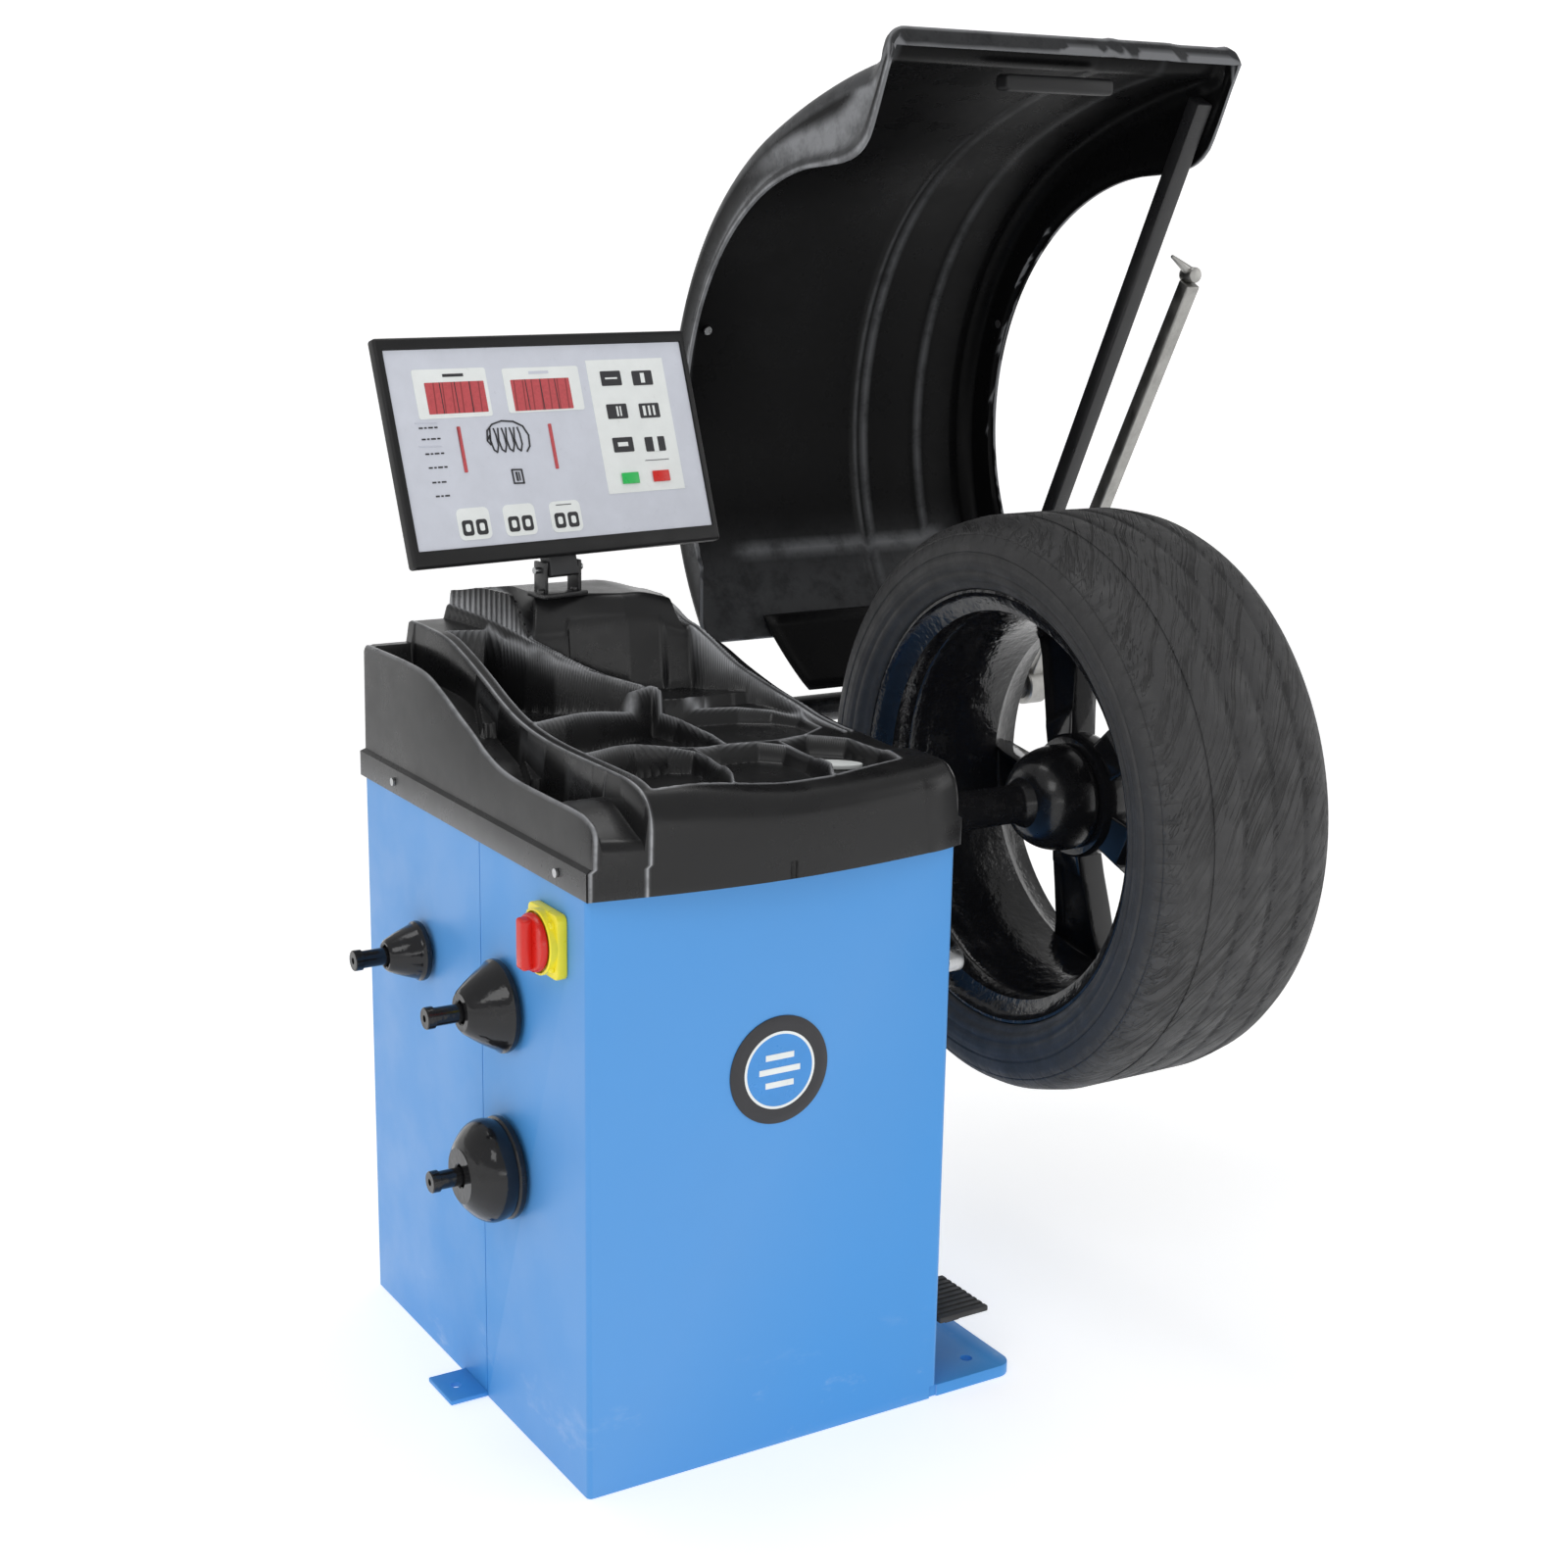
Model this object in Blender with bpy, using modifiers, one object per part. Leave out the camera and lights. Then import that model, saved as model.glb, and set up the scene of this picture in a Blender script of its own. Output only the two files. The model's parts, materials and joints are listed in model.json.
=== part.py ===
"""Wheel balancing machine with a wheel on its spindle, as separate pieces that move.

The origin is on the floor under the middle of the cabinet. +X points out along the spindle,
+Y to the back and +Z up. All lengths are in metres.
"""

import math

import bmesh
import bpy
from mathutils import Matrix, Vector

GAP = 0.0003  # between pieces that touch

# Cabinet
CAB_W, CAB_D, CAB_TOP = 0.460, 0.604, 0.700
WALL = 0.002
LEFT, RIGHT = -CAB_W / 2, CAB_W / 2
FRONT, BACK = -CAB_D / 2, CAB_D / 2
BASE_T, BASE_RIGHT = 0.015, 0.3445
# Spindle and wheel
AXIS_Y, AXIS_Z = -0.0648, 0.641
SHAFT_R, THREAD_R = 0.020, 0.019
HUB_X, SHAFT_END, SHAFT_START = 0.575, 0.764, -0.170
RIM_IN, RIM_OUT, RIM_R, SEAT_R = 0.451, 0.688, 0.273, 0.252
TYRE_IN, TYRE_OUT, TYRE_R = 0.434, 0.705, 0.3643
SPOKES, SPOKE_TURN = 5, -27
# Hood, drawn open
HOOD_LEFT, HOOD_RIGHT, HOOD_T = 0.322, 0.855, 0.005
ARC_Y, ARC_Z, ARC_R = 0.112, 1.058, 0.445
FLAT_FROM, FLAT_R = 65, 1.0
EDGE_Y, EDGE_Z, EDGE_R = 0.146, 1.067, 0.349
PIVOT_Y, PIVOT_Z = 0.452, 0.6624
ARM_X, ARM_LEAN, ARM_LENGTH, ARM_HALF = 0.830, math.radians(25.6), 0.940, 0.0125
BAR_X, BAR_LEAN, BAR_LENGTH, BAR_HALF = 0.906, math.radians(27.3), 0.690, 0.011
SLEEVE_BORE = 0.0205
# Weight tray
SKIRT_Z, SKIRT_TOP, SKIRT_OUT = 0.680, 0.722, 0.0045
LOW_Z, HIGH_Z, RIB_LIFT, HUMP_TOP = 0.766, 0.840, 0.028, 0.912
POCKETS = {  # (x from, x to), (y from, y to), floor
    "front_1": ((-0.149, -0.052), (-0.288, -0.152), 0.752),
    "front_2": ((-0.044, 0.082), (-0.286, -0.142), 0.752),
    "front_3": ((0.092, 0.182), (-0.272, -0.132), 0.752),
    "middle_left": ((-0.149, 0.028), (-0.128, -0.022), 0.756),
    "middle_right": ((0.054, 0.186), (-0.094, 0.004), 0.760),
    "back_left": ((-0.148, -0.045), (0.006, 0.080), 0.775),
    "back_right": ((0.160, 0.205), (0.030, 0.255), 0.775),
    "recess": ((-0.035, 0.150), (0.030, 0.075), 0.785),
}
# Display, in its own axes on the tilt axis
SCREEN_LOW, SCREEN_HIGH = Vector((-0.2115, -0.030, 0.0115)), Vector((0.2290, -0.014, 0.2755))
BEZEL_LOW, BEZEL_HIGH = Vector((0.009, 0.0, 0.0185)), Vector((0.008, 0.0, 0.0135))
SCREEN_YAW, SCREEN_TILT = 0.154, 0.308
TILT_AXIS = Vector((-0.0396, 0.150, 0.945))
KEYS = (("start_key", "green", 0.1087), ("stop_key", "red", 0.1552))
# Drive
GAUGE_Y, GAUGE_Z = -0.240, 0.520
BRAKE_Y, BRAKE_Z = -0.155, 0.085
PULLEY_X, MOTOR_Y, MOTOR_Z = -0.141, 0.110, 0.480
PULLEY_R, MOTOR_PULLEY_R, BELT_T = 0.054, 0.018, 0.004
RIM_BRAKE_R, LEVER_X = 0.060, -0.120
HOUSING_R, HOUSING_IN, HOUSING_OUT = 0.045, -0.100, 0.222
SHOE_GAP = 0.0066
# Left side
SWITCH_Y, SWITCH_Z, SWITCH_HALF, COLLAR_R = -0.224, 0.617, 0.034, 0.0355
PEG_R, PEG_TIP_R, CONE_BORE = 0.0105, 0.0125, 0.0130
CONES = {  # y, z, wide radius, narrow radius, depth, reach of its peg
    "small": (0.123, 0.506, 0.036, 0.018, 0.046, 0.090),
    "medium": (-0.103, 0.507, 0.053, 0.023, 0.050, 0.096),
    "large": (-0.108, 0.318, 0.059, 0.033, 0.056, 0.096),
}

COLOURS = {
    "blue": ((0.085, 0.335, 0.745), 0.38, 0.0),
    "black_plastic": ((0.018, 0.018, 0.020), 0.42, 0.0),
    "black_gloss": ((0.012, 0.012, 0.013), 0.18, 0.0),
    "steel": ((0.52, 0.53, 0.54), 0.34, 1.0),
    "zinc": ((0.60, 0.61, 0.60), 0.42, 1.0),
    "iron": ((0.16, 0.16, 0.17), 0.55, 0.8),
    "rubber": ((0.022, 0.022, 0.023), 0.72, 0.0),
    "panel_grey": ((0.66, 0.67, 0.74), 0.45, 0.0),
    "red": ((0.75, 0.05, 0.03), 0.35, 0.0),
    "yellow": ((0.95, 0.75, 0.03), 0.38, 0.0),
    "green": ((0.02, 0.55, 0.14), 0.45, 0.0),
    "board_green": ((0.03, 0.20, 0.08), 0.55, 0.0),
    "motor_grey": ((0.22, 0.24, 0.26), 0.5, 0.4),
    "badge": ((0.80, 0.82, 0.84), 0.4, 0.0),
}


# ---------------------------------------------------------------- tools


def clear_scene():
    for obj in list(bpy.data.objects):
        bpy.data.objects.remove(obj, do_unlink=True)


def collection(name, hidden=False):
    made = bpy.data.collections.new(name)
    bpy.context.scene.collection.children.link(made)
    made.hide_render = hidden
    return made


def material(key):
    found = bpy.data.materials.get(key)
    if found:
        return found
    colour, roughness, metallic = COLOURS[key]
    made = bpy.data.materials.new(key)
    made.use_nodes = True
    shader = made.node_tree.nodes["Principled BSDF"]
    shader.inputs["Base Color"].default_value = (*colour, 1.0)
    shader.inputs["Roughness"].default_value = roughness
    shader.inputs["Metallic"].default_value = metallic
    return made


def add_object(name, mesh, look, parent=None, cutter=False):
    obj = bpy.data.objects.new(name, mesh)
    (CUTTERS if cutter else PARTS).objects.link(obj)
    if cutter:
        obj.hide_render = True
        obj.display_type = "WIRE"
    elif look:
        mesh.materials.append(material(look))
    obj.parent = parent
    return obj


def bevel(obj, width, segments=2, angle=30):
    mod = obj.modifiers.new("soft_edges", "BEVEL")
    mod.width = width
    mod.segments = segments
    mod.limit_method = "ANGLE"
    mod.angle_limit = math.radians(angle)
    return obj


def span_box(name, look, low, high, soft=0.0, parent=None, cutter=False):
    """A box from its low corner to its high corner, in world axes."""
    low, high = Vector(low), Vector(high)
    bm = bmesh.new()
    bmesh.ops.create_cube(bm, size=1.0)
    bmesh.ops.scale(bm, vec=high - low, verts=bm.verts)
    mesh = bpy.data.meshes.new(name)
    bm.to_mesh(mesh)
    bm.free()
    obj = add_object(name, mesh, look, parent, cutter)
    middle = (low + high) / 2
    obj.location = middle - parent.location if parent else middle
    return bevel(obj, soft) if soft else obj


def rod(name, look, start, end, radius, sides=24, soft=0.0, end_radius=None, cutter=False):
    """A straight round bar or cone between two points."""
    start, end = Vector(start), Vector(end)
    bm = bmesh.new()
    bmesh.ops.create_cone(
        bm,
        cap_ends=True,
        segments=sides,
        radius1=radius,
        radius2=radius if end_radius is None else end_radius,
        depth=(end - start).length,
    )
    mesh = bpy.data.meshes.new(name)
    bm.to_mesh(mesh)
    bm.free()
    mesh.shade_smooth()
    mesh.set_sharp_from_angle(angle=math.radians(40))
    obj = add_object(name, mesh, look, cutter=cutter)
    obj.location = (start + end) / 2
    obj.rotation_mode = "QUATERNION"
    obj.rotation_quaternion = (end - start).to_track_quat("Z", "Y")
    return bevel(obj, soft) if soft else obj


def turned(name, look, profile, centre, closed=False, sides=28, axis="X", cutter=False):
    """A turned piece from a profile of (radius, distance along the axis)."""
    nexts = profile[1:] + profile[:1]
    if sum(r0 * h1 - r1 * h0 for (r0, h0), (r1, h1) in zip(profile, nexts)) > 0:
        profile = profile[::-1]  # so that the outer side runs down, and the faces point out
    mesh = bpy.data.meshes.new(name)
    count = len(profile)
    edges = [(i, i + 1) for i in range(count - 1)] + ([(count - 1, 0)] if closed else [])
    mesh.from_pydata([(r, 0.0, h) for r, h in profile], edges, [])
    obj = add_object(name, mesh, look, cutter=cutter)
    mod = obj.modifiers.new("turn", "SCREW")
    mod.steps = mod.render_steps = sides
    mod.use_merge_vertices = True
    mod.merge_threshold = 0.00001
    mod.use_smooth_shade = True
    obj.location = centre
    if axis == "X":
        obj.rotation_euler = (0.0, math.pi / 2, 0.0)
    return obj


def outline(name, look, points, low, high, plane="XY", soft=0.0, cutter=False):
    """A flat outline given in plane XY or YZ, extruded from low to high."""
    curve = bpy.data.curves.new(name, "CURVE")
    curve.dimensions = "2D"
    curve.fill_mode = "BOTH"
    curve.extrude = (high - low) / 2
    spline = curve.splines.new("POLY")
    spline.points.add(len(points) - 1)
    for point, (a, b) in zip(spline.points, points):
        point.co = (a, b, 0.0, 1.0)
    spline.use_cyclic_u = True
    guide = bpy.data.objects.new(name + "_guide", curve)
    CUTTERS.objects.link(guide)
    mesh = as_mesh(guide, name)
    bpy.data.objects.remove(guide, do_unlink=True)
    middle = (low + high) / 2
    turn = Matrix(((0, 0, 1), (1, 0, 0), (0, 1, 0))).to_4x4() if plane == "YZ" else Matrix()
    shift = Vector((middle, 0, 0)) if plane == "YZ" else Vector((0, 0, middle))
    mesh.transform(Matrix.Translation(shift) @ turn)
    obj = add_object(name, mesh, look, cutter=cutter)
    return bevel(obj, soft) if soft else obj


def as_mesh(obj, name):
    """A closed mesh of an object as its modifiers leave it, in world axes."""
    bpy.context.view_layer.update()
    graph = bpy.context.evaluated_depsgraph_get()
    mesh = bpy.data.meshes.new_from_object(obj.evaluated_get(graph))
    mesh.name = name
    mesh.transform(obj.matrix_world)
    bm = bmesh.new()
    bm.from_mesh(mesh)
    bmesh.ops.remove_doubles(bm, verts=bm.verts, dist=0.000001)
    bmesh.ops.recalc_face_normals(bm, faces=bm.faces)
    bm.to_mesh(mesh)
    bm.free()
    return mesh


def combine(obj, other, operation="DIFFERENCE"):
    """A Boolean modifier on obj with a helper object, which stays hidden."""
    if other.name in PARTS.objects:
        PARTS.objects.unlink(other)
        CUTTERS.objects.link(other)
        other.hide_render = True
        other.display_type = "WIRE"
    mod = obj.modifiers.new(operation.lower(), "BOOLEAN")
    mod.operation = operation
    mod.solver = "EXACT"
    mod.object = other
    return obj


def cut_box(obj, low, high, soft=0.0):
    return combine(obj, span_box(obj.name + "_cut", "", low, high, soft, cutter=True))


def cut_rod(obj, start, end, radius, sides=24):
    return combine(obj, rod(obj.name + "_bore", "", start, end, radius, sides, cutter=True))


def arc(centre, radius, start, end, steps):
    """Points on a circle, with the angles in degrees."""
    turn = (end - start) / steps
    angles = [math.radians(start + turn * i) for i in range(steps + 1)]
    return [(centre[0] + radius * math.cos(a), centre[1] + radius * math.sin(a)) for a in angles]


def set_origin(obj, place):
    """Moves an unparented object's origin to a point without moving its shape."""
    bpy.context.view_layer.update()
    shift = obj.matrix_world.inverted() @ Vector(place)
    obj.data.transform(Matrix.Translation(-shift))
    obj.location = place


# ---------------------------------------------------------------- cabinet


def base_plate():
    corner = arc((BASE_RIGHT - 0.02, FRONT + 0.02), 0.02, -90, 0, 4)
    far = arc((BASE_RIGHT - 0.02, BACK - 0.02), 0.02, 0, 90, 4)
    inner_x, inner_y = LEFT + WALL + GAP, FRONT + WALL + GAP
    step_x = RIGHT + GAP
    points = [(inner_x, inner_y), (step_x, inner_y), (step_x, FRONT), *corner, *far]
    points += [(step_x, BACK), (step_x, -inner_y), (inner_x, -inner_y)]
    plate = outline("base_plate", "blue", points, 0.0, BASE_T)
    for y in (FRONT + 0.037, BACK - 0.037):
        cut_rod(plate, (0.300, y, -0.01), (0.300, y, 0.03), 0.0075, 16)


def foot_tab():
    y = -0.0065
    low, high = (LEFT - 0.0473, y - 0.0335, 0.0), (LEFT + WALL, y + 0.0335, 0.006)
    tab = span_box("foot_tab", "blue", low, high)
    cut_rod(tab, (LEFT - 0.026, y, -0.01), (LEFT - 0.026, y, 0.02), 0.0065, 16)


def cabinet_shell():
    r = 0.006
    corners = ((LEFT + r, FRONT + r), (RIGHT - r, FRONT + r), (RIGHT - r, BACK - r), (LEFT + r, BACK - r))
    plan = []
    for start, corner in zip((180, 270, 0, 90), corners):
        plan += arc(corner, r, start, start + 90, 3)
    shell = outline("cabinet_shell", "blue", plan, 0.0, CAB_TOP)
    inside = (LEFT + WALL, FRONT + WALL, -0.02), (RIGHT - WALL, BACK - WALL, CAB_TOP + 0.02)
    cut_box(shell, *inside)
    span = 0.1
    cut_box(shell, (RIGHT - 0.01, FRONT - 0.01, -0.02), (RIGHT + 0.01, BACK + 0.01, BASE_T + GAP))
    cut_box(shell, (LEFT - 0.01, -0.0405, -0.02), (LEFT + 0.01, 0.0275, 0.0063))
    cut_rod(shell, (RIGHT - span, AXIS_Y, AXIS_Z), (RIGHT + span, AXIS_Y, AXIS_Z), 0.034, 32)
    cut_rod(shell, (RIGHT - span, GAUGE_Y, GAUGE_Z), (RIGHT + span, GAUGE_Y, GAUGE_Z), 0.0125)
    cut_rod(shell, (RIGHT - span, BRAKE_Y, BRAKE_Z), (RIGHT + span, BRAKE_Y, BRAKE_Z), 0.0105)
    cut_box(shell, (-0.17, BACK - 0.01, 0.08), (0.17, BACK + 0.01, 0.53))


def rear_panel():
    low, high = (-0.185, BACK + GAP, 0.065), (0.185, BACK + 0.002, 0.545)
    panel = span_box("rear_panel", "blue", low, high)
    for row in range(6):
        z = 0.38 + 0.022 * row
        cut_box(panel, (-0.06, BACK - 0.01, z), (0.06, BACK + 0.01, z + 0.008))
    for n, (x, z) in enumerate(((-0.175, 0.075), (0.175, 0.535))):
        start, end = (x, BACK + 0.0023, z), (x, BACK + 0.0055, z)
        rod(f"rear_screw_{n + 1}", "steel", start, end, 0.005, 12)


def mains_inlet():
    profile = [(0.006, 0.024), (0.012, 0.024), (0.012, 0.012), (0.016, 0.010)]
    profile += [(0.016, 0.0), (0.006, 0.0)]
    gland = turned("mains_inlet", "black_plastic", profile, (0, 0, 0), True, 20, "Z")
    gland.rotation_euler = (-math.pi / 2, 0.0, 0.0)
    gland.location = (-0.12, BACK + 0.0023, 0.12)


def badge():
    centre = (0.0033, FRONT - GAP, 0.4545)
    ring = [(0.0, 0.0025), (0.060, 0.0025), (0.062, 0.0015), (0.062, 0.0), (0.0, 0.0)]
    plate = turned("badge", "badge", ring, (0, 0, 0), False, 40, "Z")
    plate.rotation_euler = (math.pi / 2, 0.0, 0.0)
    plate.location = centre


# ---------------------------------------------------------------- tray


def step_height(y, low, high, start, end):
    """A smooth rise from low at start to high at end."""
    t = min(max((y - start) / (end - start), 0.0), 1.0)
    return low + (high - low) * t * t * (3 - 2 * t)


def tray_side(lift, start, end, front, back):
    """The side outline of the tray's top, from front to back, closed along the skirt."""
    lift_low, lift_high = LOW_Z + lift, HIGH_Z + lift
    points = [(front, SKIRT_Z), (front, lift_low - 0.03)]
    points += arc((front + 0.03, lift_low - 0.03), 0.03, 180, 90, 4)[1:]
    steps = 12
    for i in range(steps + 1):
        y = start + (end - start) * i / steps
        points.append((y, step_height(y, lift_low, lift_high, start, end)))
    points += [(back, lift_high), (back, SKIRT_Z)]
    return points


def tray_plan():
    """The tray from above: a bowed front, and a cut front right corner."""
    side, rear = RIGHT + SKIRT_OUT, BACK + SKIRT_OUT
    bow = [(-side + 0.41 * i / 8, -0.311 - 0.024 * math.sin(math.pi * i / 9)) for i in range(9)]
    return [*bow, (side, -0.298), (side, rear), (-side, rear)]


def weight_tray():
    tray = outline("weight_tray", "black_plastic", tray_plan(), SKIRT_Z, 0.95)
    side = tray_side(0.0, -0.13, 0.115, -0.34, 0.32)
    low = outline("tray_low", "", side, -0.3, 0.3, "YZ", cutter=True)
    side = tray_side(RIB_LIFT, -0.08, 0.18, -0.315, 0.3)
    raised = outline("tray_raised", "", side, -0.170, 0.212, "YZ", cutter=True)
    hump = span_box("tray_hump", "", (-0.130, 0.084, 0.75), (0.166, 0.298, HUMP_TOP), cutter=True)
    bevel(hump, 0.035, 4)
    combine(low, raised, "UNION")
    combine(low, hump, "UNION")
    combine(tray, low, "INTERSECT")
    for (x0, x1), (y0, y1), floor in POCKETS.values():
        cut_box(tray, (x0, y0, floor), (x1, y1, 1.0), 0.006)
    channel = tray_side(-0.034, -0.13, 0.115, -0.300, 0.28)[2:-1] + [(0.28, 1.0), (-0.270, 1.0)]
    groove = outline("tray_channel", "", channel, -0.219, -0.178, "YZ", cutter=True)
    combine(tray, groove)
    room_x, room_y = RIGHT + 0.0005, BACK + 0.0005
    cut_box(tray, (-room_x, -room_y, SKIRT_Z - 0.01), (room_x, room_y, SKIRT_TOP))
    cut_box(tray, (-0.171, -0.294, 0.70), (0.205, 0.004, 0.745))
    cut_box(tray, (-0.171, 0.006, 0.70), (0.212, 0.284, 0.767))
    cut_box(tray, (-0.115, 0.098, 0.70), (0.150, 0.284, HUMP_TOP - 0.012))


def tray_screws():
    x = LEFT - SKIRT_OUT - GAP
    for n, y in enumerate((-0.243, 0.198)):
        rod(f"tray_screw_{n + 1}", "steel", (x, y, 0.695), (x - 0.0025, y, 0.695), 0.005, 12)


# ---------------------------------------------------------------- drive


def spindle():
    centre = (0.0, AXIS_Y, AXIS_Z)
    profile = [(0.0, SHAFT_END), (0.016, SHAFT_END), (THREAD_R, SHAFT_END - 0.004)]
    profile += [(THREAD_R, HUB_X), (0.066, HUB_X - GAP), (0.068, HUB_X - 0.003), (0.068, HUB_X - 0.012)]
    turns = [math.radians(18 * i) for i in range(1, 6)]
    bell = [(0.068 - 0.040 * (1 - math.cos(a)), HUB_X - 0.012 - 0.060 * math.sin(a)) for a in turns]
    profile += bell + [(0.024, HUB_X - 0.082), (0.024, 0.245)]
    profile += [(SHAFT_R, 0.243), (SHAFT_R, SHAFT_START), (0.0, SHAFT_START)]
    turned("main_shaft", "black_gloss", profile, centre)


def spindle_supports():
    axis = (0.0, AXIS_Y, AXIS_Z)
    bore = SHAFT_R + 0.006
    seat = HOUSING_R - 0.006
    outer = [(HOUSING_R, HOUSING_OUT), (HOUSING_R, HOUSING_IN), (seat, HOUSING_IN)]
    outer += [(seat, HOUSING_IN + 0.02), (bore, HOUSING_IN + 0.02), (bore, HOUSING_OUT - 0.02)]
    outer += [(seat, HOUSING_OUT - 0.02), (seat, HOUSING_OUT)]
    turned("spindle_housing", "iron", outer, axis, True, 24)
    r0, r1 = SHAFT_R + GAP, seat - GAP
    for n, x in enumerate((HOUSING_IN + GAP, HOUSING_OUT - 0.018)):
        ring = [(r1, x + 0.016), (r1, x), (r0, x), (r0, x + 0.016)]
        turned(f"bearing_{n + 1}", "steel", ring, axis, True, 24)
    column_low, column_high = (-0.030, -0.130, BASE_T + GAP), (0.130, 0.0, 0.585)
    column = span_box("support_column", "iron", column_low, column_high, 0.004)
    cut_box(column, (-0.024, -0.20, 0.05), (0.124, 0.2, 0.545))
    for n, x in enumerate((0.0, 0.100)):
        z = AXIS_Z - HOUSING_R - GAP
        rod(f"force_sensor_{n + 1}", "steel", (x, AXIS_Y, 0.585 + GAP), (x, AXIS_Y, z), 0.011, 16)


def shaft_pulley():
    bore = SHAFT_R + GAP
    x0, x1, x2 = PULLEY_X - 0.010, PULLEY_X + 0.010, LEVER_X + 0.008
    profile = [(RIM_BRAKE_R, x2), (RIM_BRAKE_R, x1 + 0.003), (PULLEY_R, x1), (PULLEY_R, x0)]
    profile += [(bore, x0), (bore, x2)]
    turned("shaft_pulley", "zinc", profile, (0.0, AXIS_Y, AXIS_Z), True, 24)
    disc = [(0.045, SHAFT_START + 0.012), (0.045, SHAFT_START + 0.0105)]
    disc += [(bore, SHAFT_START + 0.0105), (bore, SHAFT_START + 0.012)]
    turned("encoder_disc", "steel", disc, (0.0, AXIS_Y, AXIS_Z), True, 24)


def motor():
    x0, x1 = -0.115, 0.040
    body = [(0.0, x1), (0.050, x1), (0.055, x1 - 0.006), (0.055, x0 + 0.012), (0.048, x0 + 0.006)]
    body += [(0.016, x0 + 0.006), (0.016, x0), (0.007, x0), (0.007, -0.158), (0.0, -0.158)]
    turned("motor", "motor_grey", body, (0.0, MOTOR_Y, MOTOR_Z), False, 28)
    r = MOTOR_PULLEY_R
    wheel = [(r + 0.005, -0.127), (r + 0.005, -0.129), (r, -0.130), (r, -0.152), (r + 0.005, -0.153)]
    wheel += [(r + 0.005, -0.155), (0.0073, -0.155), (0.0073, -0.127)]
    turned("motor_pulley", "zinc", wheel, (0.0, MOTOR_Y, MOTOR_Z), True, 24)
    shelf = MOTOR_Z - 0.055 - GAP
    span_box("motor_bracket", "iron", (-0.060, 0.0 + GAP, shelf - 0.006), (0.030, 0.170, shelf))


def drive_belt():
    """A flat loop round the two pulleys, made from the arcs that they touch and straight runs."""
    axis, motor_at = Vector((AXIS_Y, AXIS_Z)), Vector((MOTOR_Y, MOTOR_Z))
    run = motor_at - axis
    heading = math.degrees(math.atan2(run.y, run.x))
    wrap = math.degrees(math.acos((PULLEY_R - MOTOR_PULLEY_R) / run.length))

    def loop(extra):
        big, small = PULLEY_R + GAP + extra, MOTOR_PULLEY_R + GAP + extra
        far = arc(axis, big, heading + wrap, heading + 360 - wrap, 18)
        return far + arc(motor_at, small, heading - wrap, heading + wrap, 8)

    belt = outline("drive_belt", "rubber", loop(BELT_T), PULLEY_X - 0.008, PULLEY_X + 0.008, "YZ")
    inside = outline("belt_inside", "", loop(0.0), PULLEY_X - 0.02, PULLEY_X + 0.02, "YZ", cutter=True)
    combine(belt, inside)


def control_board():
    x = LEFT + WALL + GAP
    span_box("control_board", "board_green", (x, 0.02, 0.25), (x + 0.014, 0.20, 0.45))


def brake():
    pad_y0, pad_y1 = FRONT + 0.002, FRONT + 0.097
    top = BRAKE_Z + 0.006
    arm = span_box("brake_arm", "iron", (0.256, pad_y0 + 0.02, 0.079), (0.276, BRAKE_Y + 0.014, top))
    start, end = (LEVER_X - 0.014, BRAKE_Y, BRAKE_Z), (0.274, BRAKE_Y, BRAKE_Z)
    shaft = rod("brake_shaft", "", start, end, 0.009, 16)
    lever_low = (LEVER_X - 0.007, BRAKE_Y - 0.012, 0.078)
    lever_high = (LEVER_X + 0.007, AXIS_Y + 0.008, top)
    lever = span_box("brake_lever", "", lever_low, lever_high, cutter=True)
    combine(arm, shaft, "UNION")
    combine(arm, lever, "UNION")
    pad = span_box("pedal_pad", "rubber", (0.234, pad_y0, top + 0.0005), (0.304, pad_y1, 0.099))
    for n in range(6):
        y = pad_y0 + 0.010 + 0.014 * n
        cut_box(pad, (0.228, y, 0.0965), (0.310, y + 0.005, 0.12))
    block_low, block_high = (-0.095, -0.180, BASE_T + GAP), (-0.070, -0.130, 0.105)
    block = span_box("brake_block", "iron", block_low, block_high)
    cut_rod(block, (-0.2, BRAKE_Y, BRAKE_Z), (0.0, BRAKE_Y, BRAKE_Z), 0.0095, 16)
    face = AXIS_Z - RIM_BRAKE_R - SHOE_GAP
    foot = (LEVER_X, AXIS_Y, top + 2 * GAP)  # clear of the lever at its full lift
    post = rod("brake_rod", "steel", foot, (LEVER_X, AXIS_Y, face - 0.004), 0.005, 12)
    shoe_low = (LEVER_X - 0.006, AXIS_Y - 0.022, face - 0.012)
    shoe_high = (LEVER_X + 0.006, AXIS_Y + 0.022, face)
    combine(post, span_box("shoe", "", shoe_low, shoe_high, cutter=True), "UNION")


# ---------------------------------------------------------------- wheel


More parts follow.
